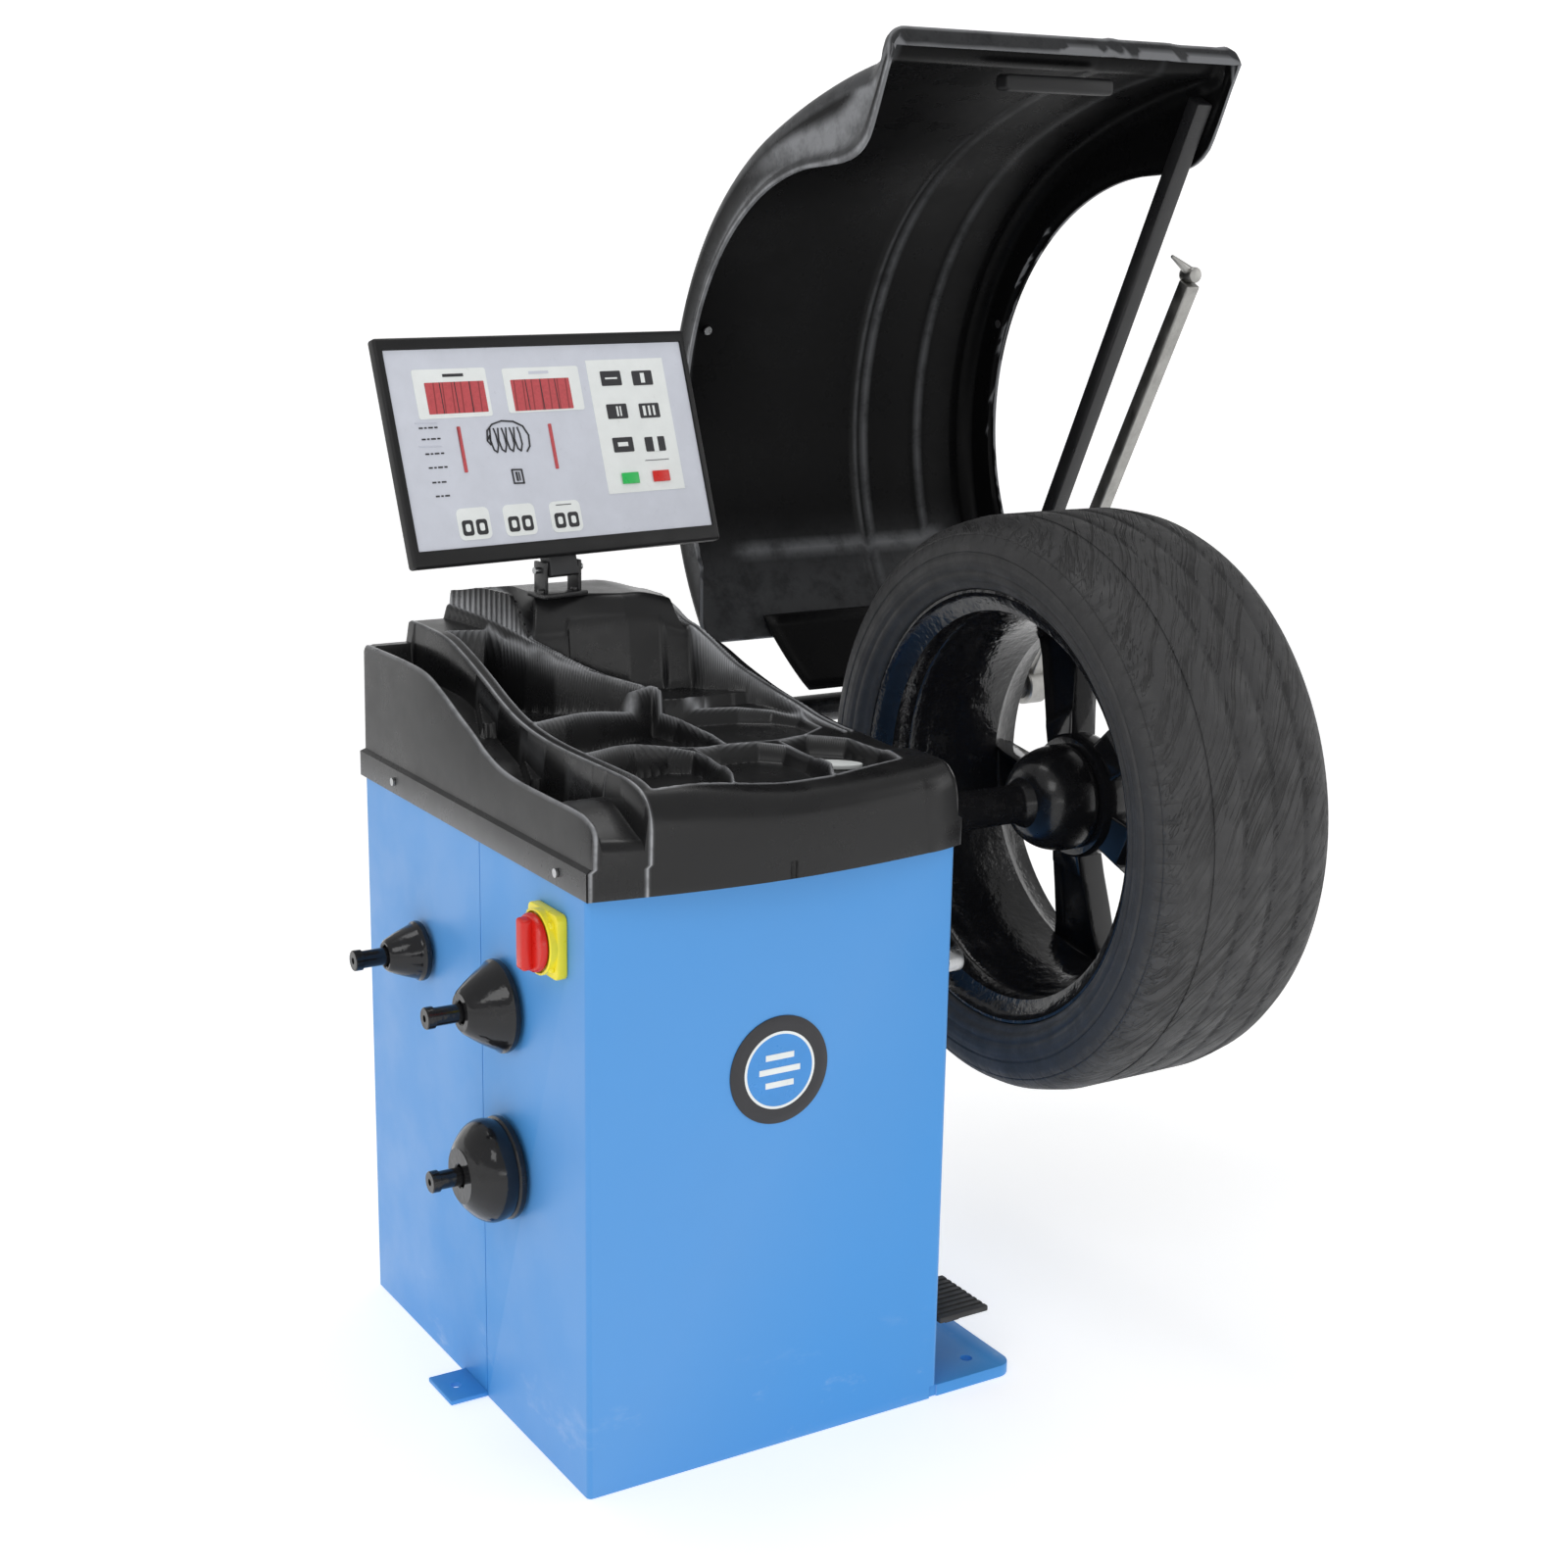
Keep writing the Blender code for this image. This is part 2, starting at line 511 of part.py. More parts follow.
def wheel_rim():
    t = 0.006
    face = [
        (RIM_R, RIM_OUT),
        (RIM_R, RIM_OUT - 0.012),
        (SEAT_R, RIM_OUT - 0.020),
        (0.249, RIM_OUT - 0.050),
        (0.232, RIM_OUT - 0.066),
        (0.232, RIM_OUT - 0.115),
        (0.246, RIM_IN + 0.060),
        (SEAT_R, RIM_IN + 0.020),
        (RIM_R, RIM_IN + 0.012),
        (RIM_R, RIM_IN),
    ]
    inner = [(RIM_R - t, RIM_IN), (RIM_R - t, RIM_IN + 0.007), (SEAT_R - t, RIM_IN + 0.014)]
    inner += [(0.246 - t, RIM_IN + 0.060), (0.232 - t, RIM_OUT - 0.118), (0.232 - t, RIM_OUT - 0.062)]
    inner += [(0.249 - t, RIM_OUT - 0.046), (SEAT_R - t, RIM_OUT - 0.014), (RIM_R - t, RIM_OUT - 0.007)]
    inner += [(RIM_R - t, RIM_OUT)]
    rim = turned("wheel_rim", "black_gloss", face + inner, (0.0, AXIS_Y, AXIS_Z), True, 44)
    pad = [(0.078, 0.622), (0.078, HUB_X + GAP), (0.034, HUB_X + GAP), (0.034, 0.622)]
    hub = turned("hub", "", pad, (0.0, AXIS_Y, AXIS_Z), True, 32, cutter=True)
    combine(rim, hub, "UNION")
    for n in range(SPOKES):
        combine(rim, spoke(n), "UNION")


def spoke(n):
    """A spoke that widens from the hub to the barrel and leans out to the rim's outer side."""
    side = [(0.066, 0.580), (0.150, 0.612), (0.242, 0.634)]
    side += [(0.242, 0.668), (0.150, 0.655), (0.066, 0.620)]
    bm = bmesh.new()
    rows = []
    for reach, x in side:
        half = 0.022 + 0.10 * reach
        rows.append([bm.verts.new((x, s * half, reach)) for s in (-1, 1)])
    bm.faces.new([row[0] for row in rows])
    bm.faces.new([row[1] for row in reversed(rows)])
    for a, b in zip(rows, rows[1:] + rows[:1]):
        bm.faces.new((a[0], a[1], b[1], b[0]))
    bmesh.ops.recalc_face_normals(bm, faces=bm.faces)
    mesh = bpy.data.meshes.new("spoke")
    bm.to_mesh(mesh)
    bm.free()
    turn = Matrix.Rotation(math.radians(SPOKE_TURN + 360 * n / SPOKES), 4, "X")
    mesh.transform(Matrix.Translation((0.0, AXIS_Y, AXIS_Z)) @ turn)
    return add_object(f"spoke_{n + 1}", mesh, "", cutter=True)


def tyre():
    mid = (TYRE_IN + TYRE_OUT) / 2
    half = (TYRE_OUT - TYRE_IN) / 2
    r = TYRE_R
    side = [(r, 0.55), (r - 0.003, 0.80), (r - 0.014, 0.925), (r - 0.034, 0.985), (r - 0.055, 1.0)]
    side += [(r - 0.078, 0.95), (RIM_R + 0.0015, 0.88)]
    profile = [(radius, mid - half * part) for radius, part in side]
    flange = RIM_IN + 0.012 + GAP
    profile += [(RIM_R + 0.0015, flange), (SEAT_R + GAP, flange + 0.009), (SEAT_R + GAP, flange + 0.028)]
    lining = [(RIM_R + 0.004, 0.72), (r - 0.060, 0.86), (r - 0.020, 0.80), (r - 0.013, 0.0)]
    profile += [(radius, mid - half * part) for radius, part in lining]
    other = [(radius, 2 * mid - x) for radius, x in reversed(profile[:-1])]
    turned("tyre", "rubber", profile + other, (0.0, AXIS_Y, AXIS_Z), True, 44)


def valve_stem():
    """Beside a spoke root, on the inside of the barrel."""
    turn = Matrix.Rotation(math.radians(SPOKE_TURN + 36), 3, "X")
    axis = Vector((0.0, AXIS_Y, AXIS_Z))
    seat = axis + turn @ Vector((0.592, 0.0, 0.2217))
    rod("valve_stem", "rubber", seat, seat + turn @ Vector((0.030, 0.0, -0.016)), 0.0045, 10)


def clamp():
    axis = (0.0, AXIS_Y, AXIS_Z)
    bore = THREAD_R + GAP
    cone = [(0.048, 0.662), (0.048, 0.652), (0.028, 0.612), (bore, 0.612), (bore, 0.662)]
    turned("centring_cone", "steel", cone, axis, True, 32)
    nut = [(0.030, 0.735), (0.040, 0.728), (0.040, 0.690), (0.056, 0.684), (0.056, 0.662 + GAP)]
    nut += [(bore, 0.662 + GAP), (bore, 0.735)]
    body = turned("quick_nut", "black_gloss", nut, axis, True, 32)
    for side in (-1, 1):
        start = (0.709, AXIS_Y, AXIS_Z + 0.036 * side)
        end = (0.722, AXIS_Y, AXIS_Z + 0.100 * side)
        combine(body, rod(f"nut_handle_{side + 2}", "", start, end, 0.009, 12, cutter=True), "UNION")


# ---------------------------------------------------------------- hood and gauges


def hood_outline(inset=0.0, open_side=False):
    """The hood's side view. The back is a round arc that flattens out towards the tip."""
    round_part = arc((ARC_Y, ARC_Z), ARC_R - inset, -40, FLAT_FROM, 16)
    a = math.radians(FLAT_FROM)
    shift = FLAT_R - ARC_R
    flat_centre = (ARC_Y - shift * math.cos(a), ARC_Z - shift * math.sin(a))
    back = round_part + arc(flat_centre, FLAT_R - inset, FLAT_FROM, 82.5, 5)[1:]
    if open_side:
        return back + [(-0.30, 1.56), (-0.30, 0.80), (0.20, 0.72)]
    lip = [(0.030, 1.545), (0.034, 1.568), (0.026, 1.573), (0.010, 1.574), (0.002, 1.552)]
    notch = [(0.030, 1.490), (0.052, 1.446), (0.072, 1.430), (0.094, 1.424)]
    edge = arc((EDGE_Y, EDGE_Z), EDGE_R, 88, -28, 14)
    return back[:-1] + lip + notch + edge


def hood_shell():
    shell = outline("hood_shell", "black_plastic", hood_outline(), HOOD_LEFT, HOOD_RIGHT, "YZ")
    tongue = arc((ARC_Y, ARC_Z), ARC_R, -54, -36, 5) + arc((ARC_Y, ARC_Z), ARC_R - HOOD_T, -36, -54, 5)
    combine(shell, outline("tongue", "", tongue, 0.432, 0.745, "YZ", cutter=True), "UNION")
    inside = hood_outline(HOOD_T, True)
    room = outline("hood_room", "", inside, HOOD_LEFT + HOOD_T, HOOD_RIGHT - HOOD_T, "YZ", cutter=True)
    combine(shell, room)
    set_origin(shell, (0.0, PIVOT_Y, PIVOT_Z))


def leaning_bar(name, look, x, lean, length, half, sleeve_r, sleeve_half):
    """A square bar that leans forward from a sleeve on the pivot shaft."""
    ahead = Vector((-math.sin(lean), math.cos(lean)))
    across = Vector((math.cos(lean), math.sin(lean)))
    foot = Vector((PIVOT_Y, PIVOT_Z))
    corners = [foot - across * half, foot + across * half]
    corners += [foot + ahead * length + across * half, foot + ahead * length - across * half]
    bar = outline(name, look, [tuple(c) for c in corners], x - half, x + half, "YZ")
    start, end = (x - sleeve_half, PIVOT_Y, PIVOT_Z), (x + sleeve_half, PIVOT_Y, PIVOT_Z)
    combine(bar, rod(name + "_sleeve", "", start, end, sleeve_r), "UNION")
    cut_rod(bar, (x - 0.1, PIVOT_Y, PIVOT_Z), (x + 0.1, PIVOT_Y, PIVOT_Z), SLEEVE_BORE, 32)
    set_origin(bar, (0.0, PIVOT_Y, PIVOT_Z))
    return foot + ahead * length


def hood_bolts():
    """One on the back skin and one on the outboard side wall, both on the inside."""
    turn = math.radians(18.8)
    skin = ARC_R - HOOD_T - GAP

    def on_skin(radius):
        return 0.375, ARC_Y + radius * math.cos(turn), ARC_Z + radius * math.sin(turn)

    rod("hood_bolt_1", "steel", on_skin(skin - 0.001), on_skin(skin - 0.006), 0.006, 12)
    wall = HOOD_RIGHT - HOOD_T - GAP
    rod("hood_bolt_2", "steel", (wall, 0.486, 1.204), (wall - 0.005, 0.486, 1.204), 0.006, 12)


def pivot():
    wall, rear, under = BACK + GAP, PIVOT_Y + 0.030, SKIRT_Z - 0.002
    side = [(wall, 0.560), (PIVOT_Y - 0.02, PIVOT_Z - 0.035), (rear, PIVOT_Z - 0.035), (rear, PIVOT_Z + 0.034)]
    side += [(wall + 0.030, PIVOT_Z + 0.034), (wall + 0.030, under), (wall, under)]
    bracket = outline("pivot_bracket", "iron", side, 0.060, 0.200, "YZ", 0.003)
    cut_rod(bracket, (-0.1, PIVOT_Y, PIVOT_Z), (0.4, PIVOT_Y, PIVOT_Z), 0.0203, 32)
    start, end = (0.050, PIVOT_Y, PIVOT_Z), (0.935, PIVOT_Y, PIVOT_Z)
    rod("pivot_shaft", "black_plastic", start, end, 0.0200, 32)


def arms():
    leaning_bar("hood_arm", "black_plastic", ARM_X, ARM_LEAN, ARM_LENGTH, ARM_HALF, 0.030, 0.030)
    tip = leaning_bar("gauge_arm", "zinc", BAR_X, BAR_LEAN, BAR_LENGTH, BAR_HALF, 0.029, 0.018)
    start = (BAR_X + 0.008, tip.x, tip.y + 0.0145)
    end = (BAR_X - 0.038, tip.x, tip.y + 0.034)
    rod("gauge_finger", "zinc", start, end, 0.008, 12, end_radius=0.002)


def distance_gauge():
    y, z = GAUGE_Y, GAUGE_Z
    bush = [(0.018, 0.250), (0.018, RIGHT + GAP), (0.0083, RIGHT + GAP), (0.0083, 0.250)]
    turned("distance_bush", "black_plastic", bush, (0, y, z), True, 20)
    rod("distance_rod", "steel", (0.030, y, z), (0.262, y, z), 0.008, 20)
    collar = rod("distance_head", "iron", (0.2623, y, z), (0.284, y, z), 0.014, 20)
    finger_low, finger_high = (0.266, y, z - 0.006), (0.278, y + 0.110, z + 0.006)
    combine(collar, span_box("distance_finger", "", finger_low, finger_high, cutter=True), "UNION")


# ---------------------------------------------------------------- display


def screen_frame():
    """The display's own axes in the world: X along its width, Y into it, Z up its face."""
    turn = Matrix.Rotation(SCREEN_YAW, 4, "Z") @ Matrix.Rotation(-SCREEN_TILT, 4, "X")
    return Matrix.Translation(TILT_AXIS) @ turn


def on_screen(obj):
    """Stands an object, drawn in the display's own axes, on the tilt axis."""
    bpy.context.view_layer.update()
    obj.data.transform(obj.matrix_world)
    obj.matrix_world = screen_frame()
    return obj


def display():
    low, high = SCREEN_LOW, SCREEN_HIGH
    front = low.y
    shell = span_box("display_housing", "black_plastic", low, high)
    open_low, open_high = low + BEZEL_LOW, high - BEZEL_HIGH
    open_low.y, open_high.y = front - 0.01, front + 0.006
    recess = span_box("screen_recess", "", open_low, open_high, cutter=True)
    edge = Vector((GAP, 0.0, GAP))
    pane_low, pane_high = open_low + edge, open_high - edge
    pane_low.y, pane_high.y = front + 0.0025, front + 0.006 - GAP
    pane = span_box("display_panel", "panel_grey", pane_low, pane_high)
    inset = Vector((0.030, 0.0, 0.028))
    box_low, box_high = low + inset, high - inset
    box_low.y, box_high.y = high.y - 0.002, 0.006
    back = span_box("screen_back", "", box_low, box_high, cutter=True)
    ear_low, ear_high = (-0.020, high.y - 0.002, -0.010), (0.020, 0.005, low.z + 0.034)
    ear = span_box("display_ear", "", ear_low, ear_high, cutter=True)
    for obj in (shell, pane, recess, back, ear):
        on_screen(obj)
    combine(shell, recess)
    combine(shell, back, "UNION")
    combine(shell, ear, "UNION")
    hole = rod("ear_bore", "", (-0.1, 0.0, 0.0), (0.1, 0.0, 0.0), 0.0043, 16, cutter=True)
    combine(shell, on_screen(hole))
    for name, look, x in KEYS:
        key_low, key_high = (x - 0.0125, front - 0.0004, 0.0895), (x + 0.0125, front + 0.0014, 0.1030)
        on_screen(span_box(name, look, key_low, key_high))


def display_fork():
    base_z = HUMP_TOP + GAP
    x, y = TILT_AXIS.x, TILT_AXIS.y
    base_low, base_high = (x - 0.032, y - 0.018, base_z), (x + 0.032, y + 0.018, base_z + 0.006)
    base = span_box("display_fork", "iron", base_low, base_high)
    turn = Matrix.Translation((x, y, 0)) @ Matrix.Rotation(SCREEN_YAW, 4, "Z")
    for side in (-1, 1):
        inner, outer = sorted((side * 0.0215, side * 0.0265))
        low, high = (inner, -0.012, base_z), (outer, 0.012, TILT_AXIS.z + 0.010)
        stem = span_box("fork_stem", "", low, high, cutter=True)
        bpy.context.view_layer.update()
        stem.data.transform(stem.matrix_world)
        stem.matrix_world = turn
        combine(base, stem, "UNION")
    hole = rod("fork_bore", "", (-0.1, 0.0, 0.0), (0.1, 0.0, 0.0), 0.0043, 16, cutter=True)
    combine(base, on_screen(hole))
    pin = rod("tilt_bolt", "steel", (-0.034, 0.0, 0.0), (0.034, 0.0, 0.0), 0.0040, 16)
    on_screen(pin)


# ---------------------------------------------------------------- left side


def mains_switch():
    y, z, half = SWITCH_Y, SWITCH_Z, SWITCH_HALF
    x = LEFT - GAP
    plate_low, plate_high = (x - 0.012, y - half, z - half), (x, y + half, z + half)
    plate = span_box("switch_plate", "yellow", plate_low, plate_high, 0.004)
    collar = rod("switch_collar", "", (x - 0.010, y, z), (x - 0.020, y, z), COLLAR_R, 28)
    combine(plate, collar, "UNION")
    face = x - 0.020 - GAP
    knob = rod("switch_knob", "red", (face, y, z), (face - 0.008, y, z), COLLAR_R - 0.004, 28)
    grip_low, grip_high = (face - 0.019, y - 0.008, z - 0.028), (face - 0.005, y + 0.008, z + 0.028)
    combine(knob, span_box("knob_grip", "", grip_low, grip_high, 0.003, cutter=True), "UNION")


def storage_pegs():
    for size, (y, z, wide, narrow, depth, reach) in CONES.items():
        x = LEFT - GAP
        peg = [(0.014, 0.0), (0.014, -0.004), (PEG_R, -0.004), (PEG_R, 0.010 - reach)]
        peg += [(PEG_TIP_R, 0.009 - reach), (PEG_TIP_R, -reach), (0.0, -reach)]
        peg = [(r, x + h) for r, h in peg]
        turned(f"peg_{size}", "steel", [(0.0, x), *peg], (0, y, z), False, 20)
        back = x - 0.0043
        cone = [(wide, back), (wide, back - 0.006), (narrow, back - depth)]
        cone += [(CONE_BORE, back - depth), (CONE_BORE, back)]
        turned(f"cone_{size}", "black_gloss", cone, (0, y, z), True, 24)


# ---------------------------------------------------------------- whole machine


def main():
    base_plate()
    foot_tab()
    cabinet_shell()
    rear_panel()
    mains_inlet()
    badge()
    weight_tray()
    tray_screws()
    spindle()
    spindle_supports()
    shaft_pulley()
    motor()
    drive_belt()
    control_board()
    brake()
    wheel_rim()
    tyre()
    valve_stem()
    clamp()
    hood_shell()
    hood_bolts()
    arms()
    pivot()
    distance_gauge()
    display()
    display_fork()
    mains_switch()
    storage_pegs()


clear_scene()
PARTS = collection("wheel_balancer")
CUTTERS = collection("cutters", hidden=True)
main()
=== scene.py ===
"""Wheel balancing machine: the detailed pieces and finishes that go round its frame.

All lengths are in metres. +X points out along the spindle, +Y to the back and +Z up.
"""

import json
import math

import bmesh
import bpy
from bpy.props import FloatProperty, FloatVectorProperty, IntProperty, PointerProperty
from mathutils import Matrix, Vector


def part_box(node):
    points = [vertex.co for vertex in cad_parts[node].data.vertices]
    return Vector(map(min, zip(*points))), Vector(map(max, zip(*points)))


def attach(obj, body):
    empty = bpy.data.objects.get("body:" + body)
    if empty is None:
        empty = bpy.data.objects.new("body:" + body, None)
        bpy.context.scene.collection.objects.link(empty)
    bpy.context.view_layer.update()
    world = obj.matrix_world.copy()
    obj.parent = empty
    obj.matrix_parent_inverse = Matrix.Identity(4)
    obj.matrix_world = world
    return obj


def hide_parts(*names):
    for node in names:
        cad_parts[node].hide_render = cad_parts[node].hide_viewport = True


bl_info = {
    "name": "Wheel balancing machine",
    "version": (1, 0, 0),
    "blender": (4, 5, 0),
    "location": "View3D > Sidebar > Balancer",
    "description": "Builds the machine's detailed pieces round its frame",
    "category": "Object",
}

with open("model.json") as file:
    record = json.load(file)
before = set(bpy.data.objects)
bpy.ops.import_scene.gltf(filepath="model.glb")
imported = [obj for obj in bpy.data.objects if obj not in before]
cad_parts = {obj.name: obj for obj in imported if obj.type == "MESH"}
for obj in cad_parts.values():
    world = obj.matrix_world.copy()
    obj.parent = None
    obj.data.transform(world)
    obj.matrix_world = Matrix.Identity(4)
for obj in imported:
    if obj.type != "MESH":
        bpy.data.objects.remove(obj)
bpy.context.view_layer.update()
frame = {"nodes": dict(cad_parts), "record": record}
SHELL_LOW, SHELL_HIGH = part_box("cabinet_shell")
TYRE_LOW, TYRE_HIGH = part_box("tyre")
AXIS = Vector((0.0, (TYRE_LOW.y + TYRE_HIGH.y) / 2, (TYRE_LOW.z + TYRE_HIGH.z) / 2))
HOOD_LOW, HOOD_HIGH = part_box("hood_shell")
TRAY_LOW, TRAY_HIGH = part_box("weight_tray")


# ---------------------------------------------------------------- sizes and colours


def colour_choice(name, text, default):
    return FloatVectorProperty(name=name, description=text, subtype="COLOR", size=3, min=0, max=1, default=default)


def length_choice(name, text, default, least):
    return FloatProperty(name=name, description=text, default=default, min=least, unit="LENGTH")


class BalancerColours(bpy.types.PropertyGroup):
    cabinet: colour_choice("Cabinet", "Powder coat of the cabinet", (0.050, 0.295, 0.715))
    plastic: colour_choice("Plastic", "Moulded tray and hood", (0.016, 0.016, 0.017))
    rubber: colour_choice("Tyre", "Worn tyre rubber", (0.026, 0.026, 0.027))
    panel: colour_choice("Display panel", "Printed overlay of the display", (0.64, 0.665, 0.74))
    knob: colour_choice("Switch knob", "Knob and stop key", (0.66, 0.012, 0.006))
    plate: colour_choice("Switch plate", "Plate behind the knob", (0.92, 0.80, 0.035))


class BalancerSizes(bpy.types.PropertyGroup):
    corner: length_choice("Cabinet corner", "Radius of the cabinet's upright corners", 0.006, 0.001)
    seam: FloatProperty(name="Side seam", description="Place of the seam on the left side, along Y",
        default=-0.0383, unit="LENGTH")
    tray_cell: length_choice("Tray cell", "Cell of the tray's moulded surface", 0.0020, 0.001)
    bow: FloatProperty(name="Tray bow", description="How far the tray's front bows out", default=0.024,
        unit="LENGTH")
    hood_corner: length_choice("Hood corner", "Radius between the hood's back and its sides", 0.034, 0.005)
    hood_wall: length_choice("Hood wall", "Thickness of the hood's moulding", 0.0042, 0.001)
    spokes: IntProperty(name="Spokes", description="Spokes of the wheel", default=5, min=3, max=12)
    spoke_turn: FloatProperty(name="Spoke turn", description="Turn of the first spoke about the spindle",
        default=math.radians(-27), subtype="ANGLE")
    tyre_steps: IntProperty(name="Tyre steps", description="Steps round the tyre", default=144, min=48)


# ---------------------------------------------------------------- shapes


def soften(bm, width, steps=3, angle=30.0):
    """Rounds every edge of bm that turns by more than angle."""
    sharp = [e for e in bm.edges if len(e.link_faces) == 2 and e.calc_face_angle(0.0) > math.radians(angle)]
    bmesh.ops.bevel(bm, geom=sharp, offset=width, offset_type="OFFSET", affect="EDGES", segments=steps, profile=0.5,
        material=-1, clamp_overlap=True)
    return bm


def round_along(bm, axis, width, steps, least):
    """Rounds the edges that run along an axis by more than least."""
    along = [e for e in bm.edges if abs(e.verts[0].co[axis] - e.verts[1].co[axis]) > least]
    bmesh.ops.bevel(bm, geom=along, offset=width, offset_type="OFFSET", affect="EDGES", segments=steps, profile=0.5,
        material=-1)


def block(low, high, soft=0.0, steps=3):
    bm = bmesh.new()
    low, high = Vector(low), Vector(high)
    bmesh.ops.create_cube(bm, size=1.0)
    bmesh.ops.scale(bm, vec=high - low, verts=bm.verts)
    bmesh.ops.translate(bm, vec=(low + high) / 2, verts=bm.verts)
    return soften(bm, soft, steps) if soft else bm


def rod(start, end, radius, end_radius=None, sides=32, soft=0.0):
    start, end = Vector(start), Vector(end)
    bm = bmesh.new()
    far = radius if end_radius is None else end_radius
    bmesh.ops.create_cone(bm, cap_ends=True, segments=sides, radius1=radius, radius2=far,
        depth=(end - start).length)
    if soft:
        soften(bm, soft, 2, 50)
    turn = (end - start).to_track_quat("Z", "Y").to_matrix().to_4x4()
    bmesh.ops.transform(bm, matrix=Matrix.Translation((start + end) / 2) @ turn, verts=bm.verts)
    return bm


def lathe(profile, centre=(0, 0, 0), steps=72, closed=False, soft=0.0):
    """Turns (radius, distance) points round a line along X through centre."""
    bm = bmesh.new()
    points = [bm.verts.new((x, r, 0.0)) for r, x in profile]
    pairs = list(zip(points, points[1:])) + ([(points[-1], points[0])] if closed else [])
    edges = [bm.edges.new(pair) for pair in pairs]
    bmesh.ops.spin(bm, geom=points + edges, cent=(0, 0, 0), axis=(1, 0, 0), dvec=(0, 0, 0), angle=2 * math.pi,
        steps=steps, use_merge=True, use_duplicate=False)
    bmesh.ops.remove_doubles(bm, verts=bm.verts, dist=0.00001)
    bmesh.ops.recalc_face_normals(bm, faces=bm.faces)
    if soft:
        soften(bm, soft, 2, 35)
    bmesh.ops.translate(bm, vec=centre, verts=bm.verts)
    return bm


def prism(points, low, high, plane="XY", soft=0.0, steps=2):
    """A flat outline in plane XY, XZ or YZ, drawn out from low to high."""
    place = {"XY": lambda a, b, c: (a, b, c), "XZ": lambda a, b, c: (a, c, b), "YZ": lambda a, b,
        c: (c, a, b)}[plane]
    bm = bmesh.new()
    face = bm.faces.new([bm.verts.new(place(a, b, low)) for a, b in points])
    made = bmesh.ops.extrude_face_region(bm, geom=[face])["geom"]
    rise = Vector(place(0, 0, high - low))
    bmesh.ops.translate(bm, vec=rise, verts=[v for v in made if isinstance(v, bmesh.types.BMVert)])
    bmesh.ops.recalc_face_normals(bm, faces=bm.faces)
    return soften(bm, soft, steps) if soft else bm


def join(bm, part, place=None, look=0):
    """Adds part to bm after place has moved it, with one of the piece's finishes."""
    for face in part.faces:
        face.material_index = look
    if place is not None:
        bmesh.ops.transform(part, matrix=place, verts=part.verts)
    mesh = bpy.data.meshes.new("joined")
    part.to_mesh(mesh)
    part.free()
    bm.from_mesh(mesh)
    bpy.data.meshes.remove(mesh)
    return bm


def together(*parts, place=None):
    bm = bmesh.new()
    for part in parts:
        join(bm, part, place)
    return bm


def cut(bm, *cutters):
    """bm with the cutters taken away."""
    holders = []
    for part in (bm, *cutters):
        mesh = bpy.data.meshes.new("cutting")
        part.to_mesh(mesh)
        part.free()
        holders.append(bpy.data.objects.new("cutting", mesh))
        bpy.context.scene.collection.objects.link(holders[-1])
    for other in holders[1:]:
        mod = holders[0].modifiers.new("cut", "BOOLEAN")
        mod.operation = "DIFFERENCE"
        mod.object = other
    bpy.context.view_layer.update()
    left = bpy.data.meshes.new_from_object(holders[0].evaluated_get(bpy.context.evaluated_depsgraph_get()))
    out = bmesh.new()
    out.from_mesh(left)
    bpy.data.meshes.remove(left)
    for holder in holders:
        mesh = holder.data
        bpy.data.objects.remove(holder)
        bpy.data.meshes.remove(mesh)
    return out


def piece(name, bm, looks, body, *stands_for, slot=None, angle=35.0, turn_out=True):
    """Makes bm one shown piece that rides on a body and stands for some nodes."""
    if turn_out:
        bmesh.ops.recalc_face_normals(bm, faces=bm.faces)
    mesh = bpy.data.meshes.new(name)
    bm.to_mesh(mesh)
    bm.free()
    mesh.shade_smooth()
    mesh.set_sharp_from_angle(angle=math.radians(angle))
    for look in looks if isinstance(looks, (list, tuple)) else [looks]:
        mesh.materials.append(look)
    obj = bpy.data.objects.new(name, mesh)
    bpy.context.scene.collection.objects.link(obj)
    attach(obj, body)
    if stands_for:
        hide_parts(*stands_for)
    return obj


def arc(centre, radius, start, end, steps):
    """Points on a circle, with the angles in degrees."""
    angles = [math.radians(start + (end - start) * i / steps) for i in range(steps + 1)]
    return [(centre[0] + radius * math.cos(a), centre[1] + radius * math.sin(a)) for a in angles]


def rise(t):
    """A smooth step from 0 to 1."""
    t = min(max(t, 0.0), 1.0)
    return t * t * (3 - 2 * t)


def curve_at(points, x):
    """The height at x of a smooth curve through points, in order of x."""
    if x <= points[0][0]:
        return points[0][1]
    for i in range(len(points) - 1):
        (x1, y1), (x2, y2) = points[i], points[i + 1]
        if x <= x2:
            x0, y0 = points[max(i - 1, 0)]
            x3, y3 = points[min(i + 2, len(points) - 1)]
            span, t = x2 - x1, (x - x1) / (x2 - x1)
            m1, m2 = (y2 - y0) / (x2 - x0) * span, (y3 - y1) / (x3 - x1) * span
            return (
                y1 * (2 * t**3 - 3 * t**2 + 1) + m1 * (t**3 - 2 * t**2 + t)
                + y2 * (3 * t**2 - 2 * t**3) + m2 * (t**3 - t**2)
            )
    return points[-1][1]


# ---------------------------------------------------------------- finishes


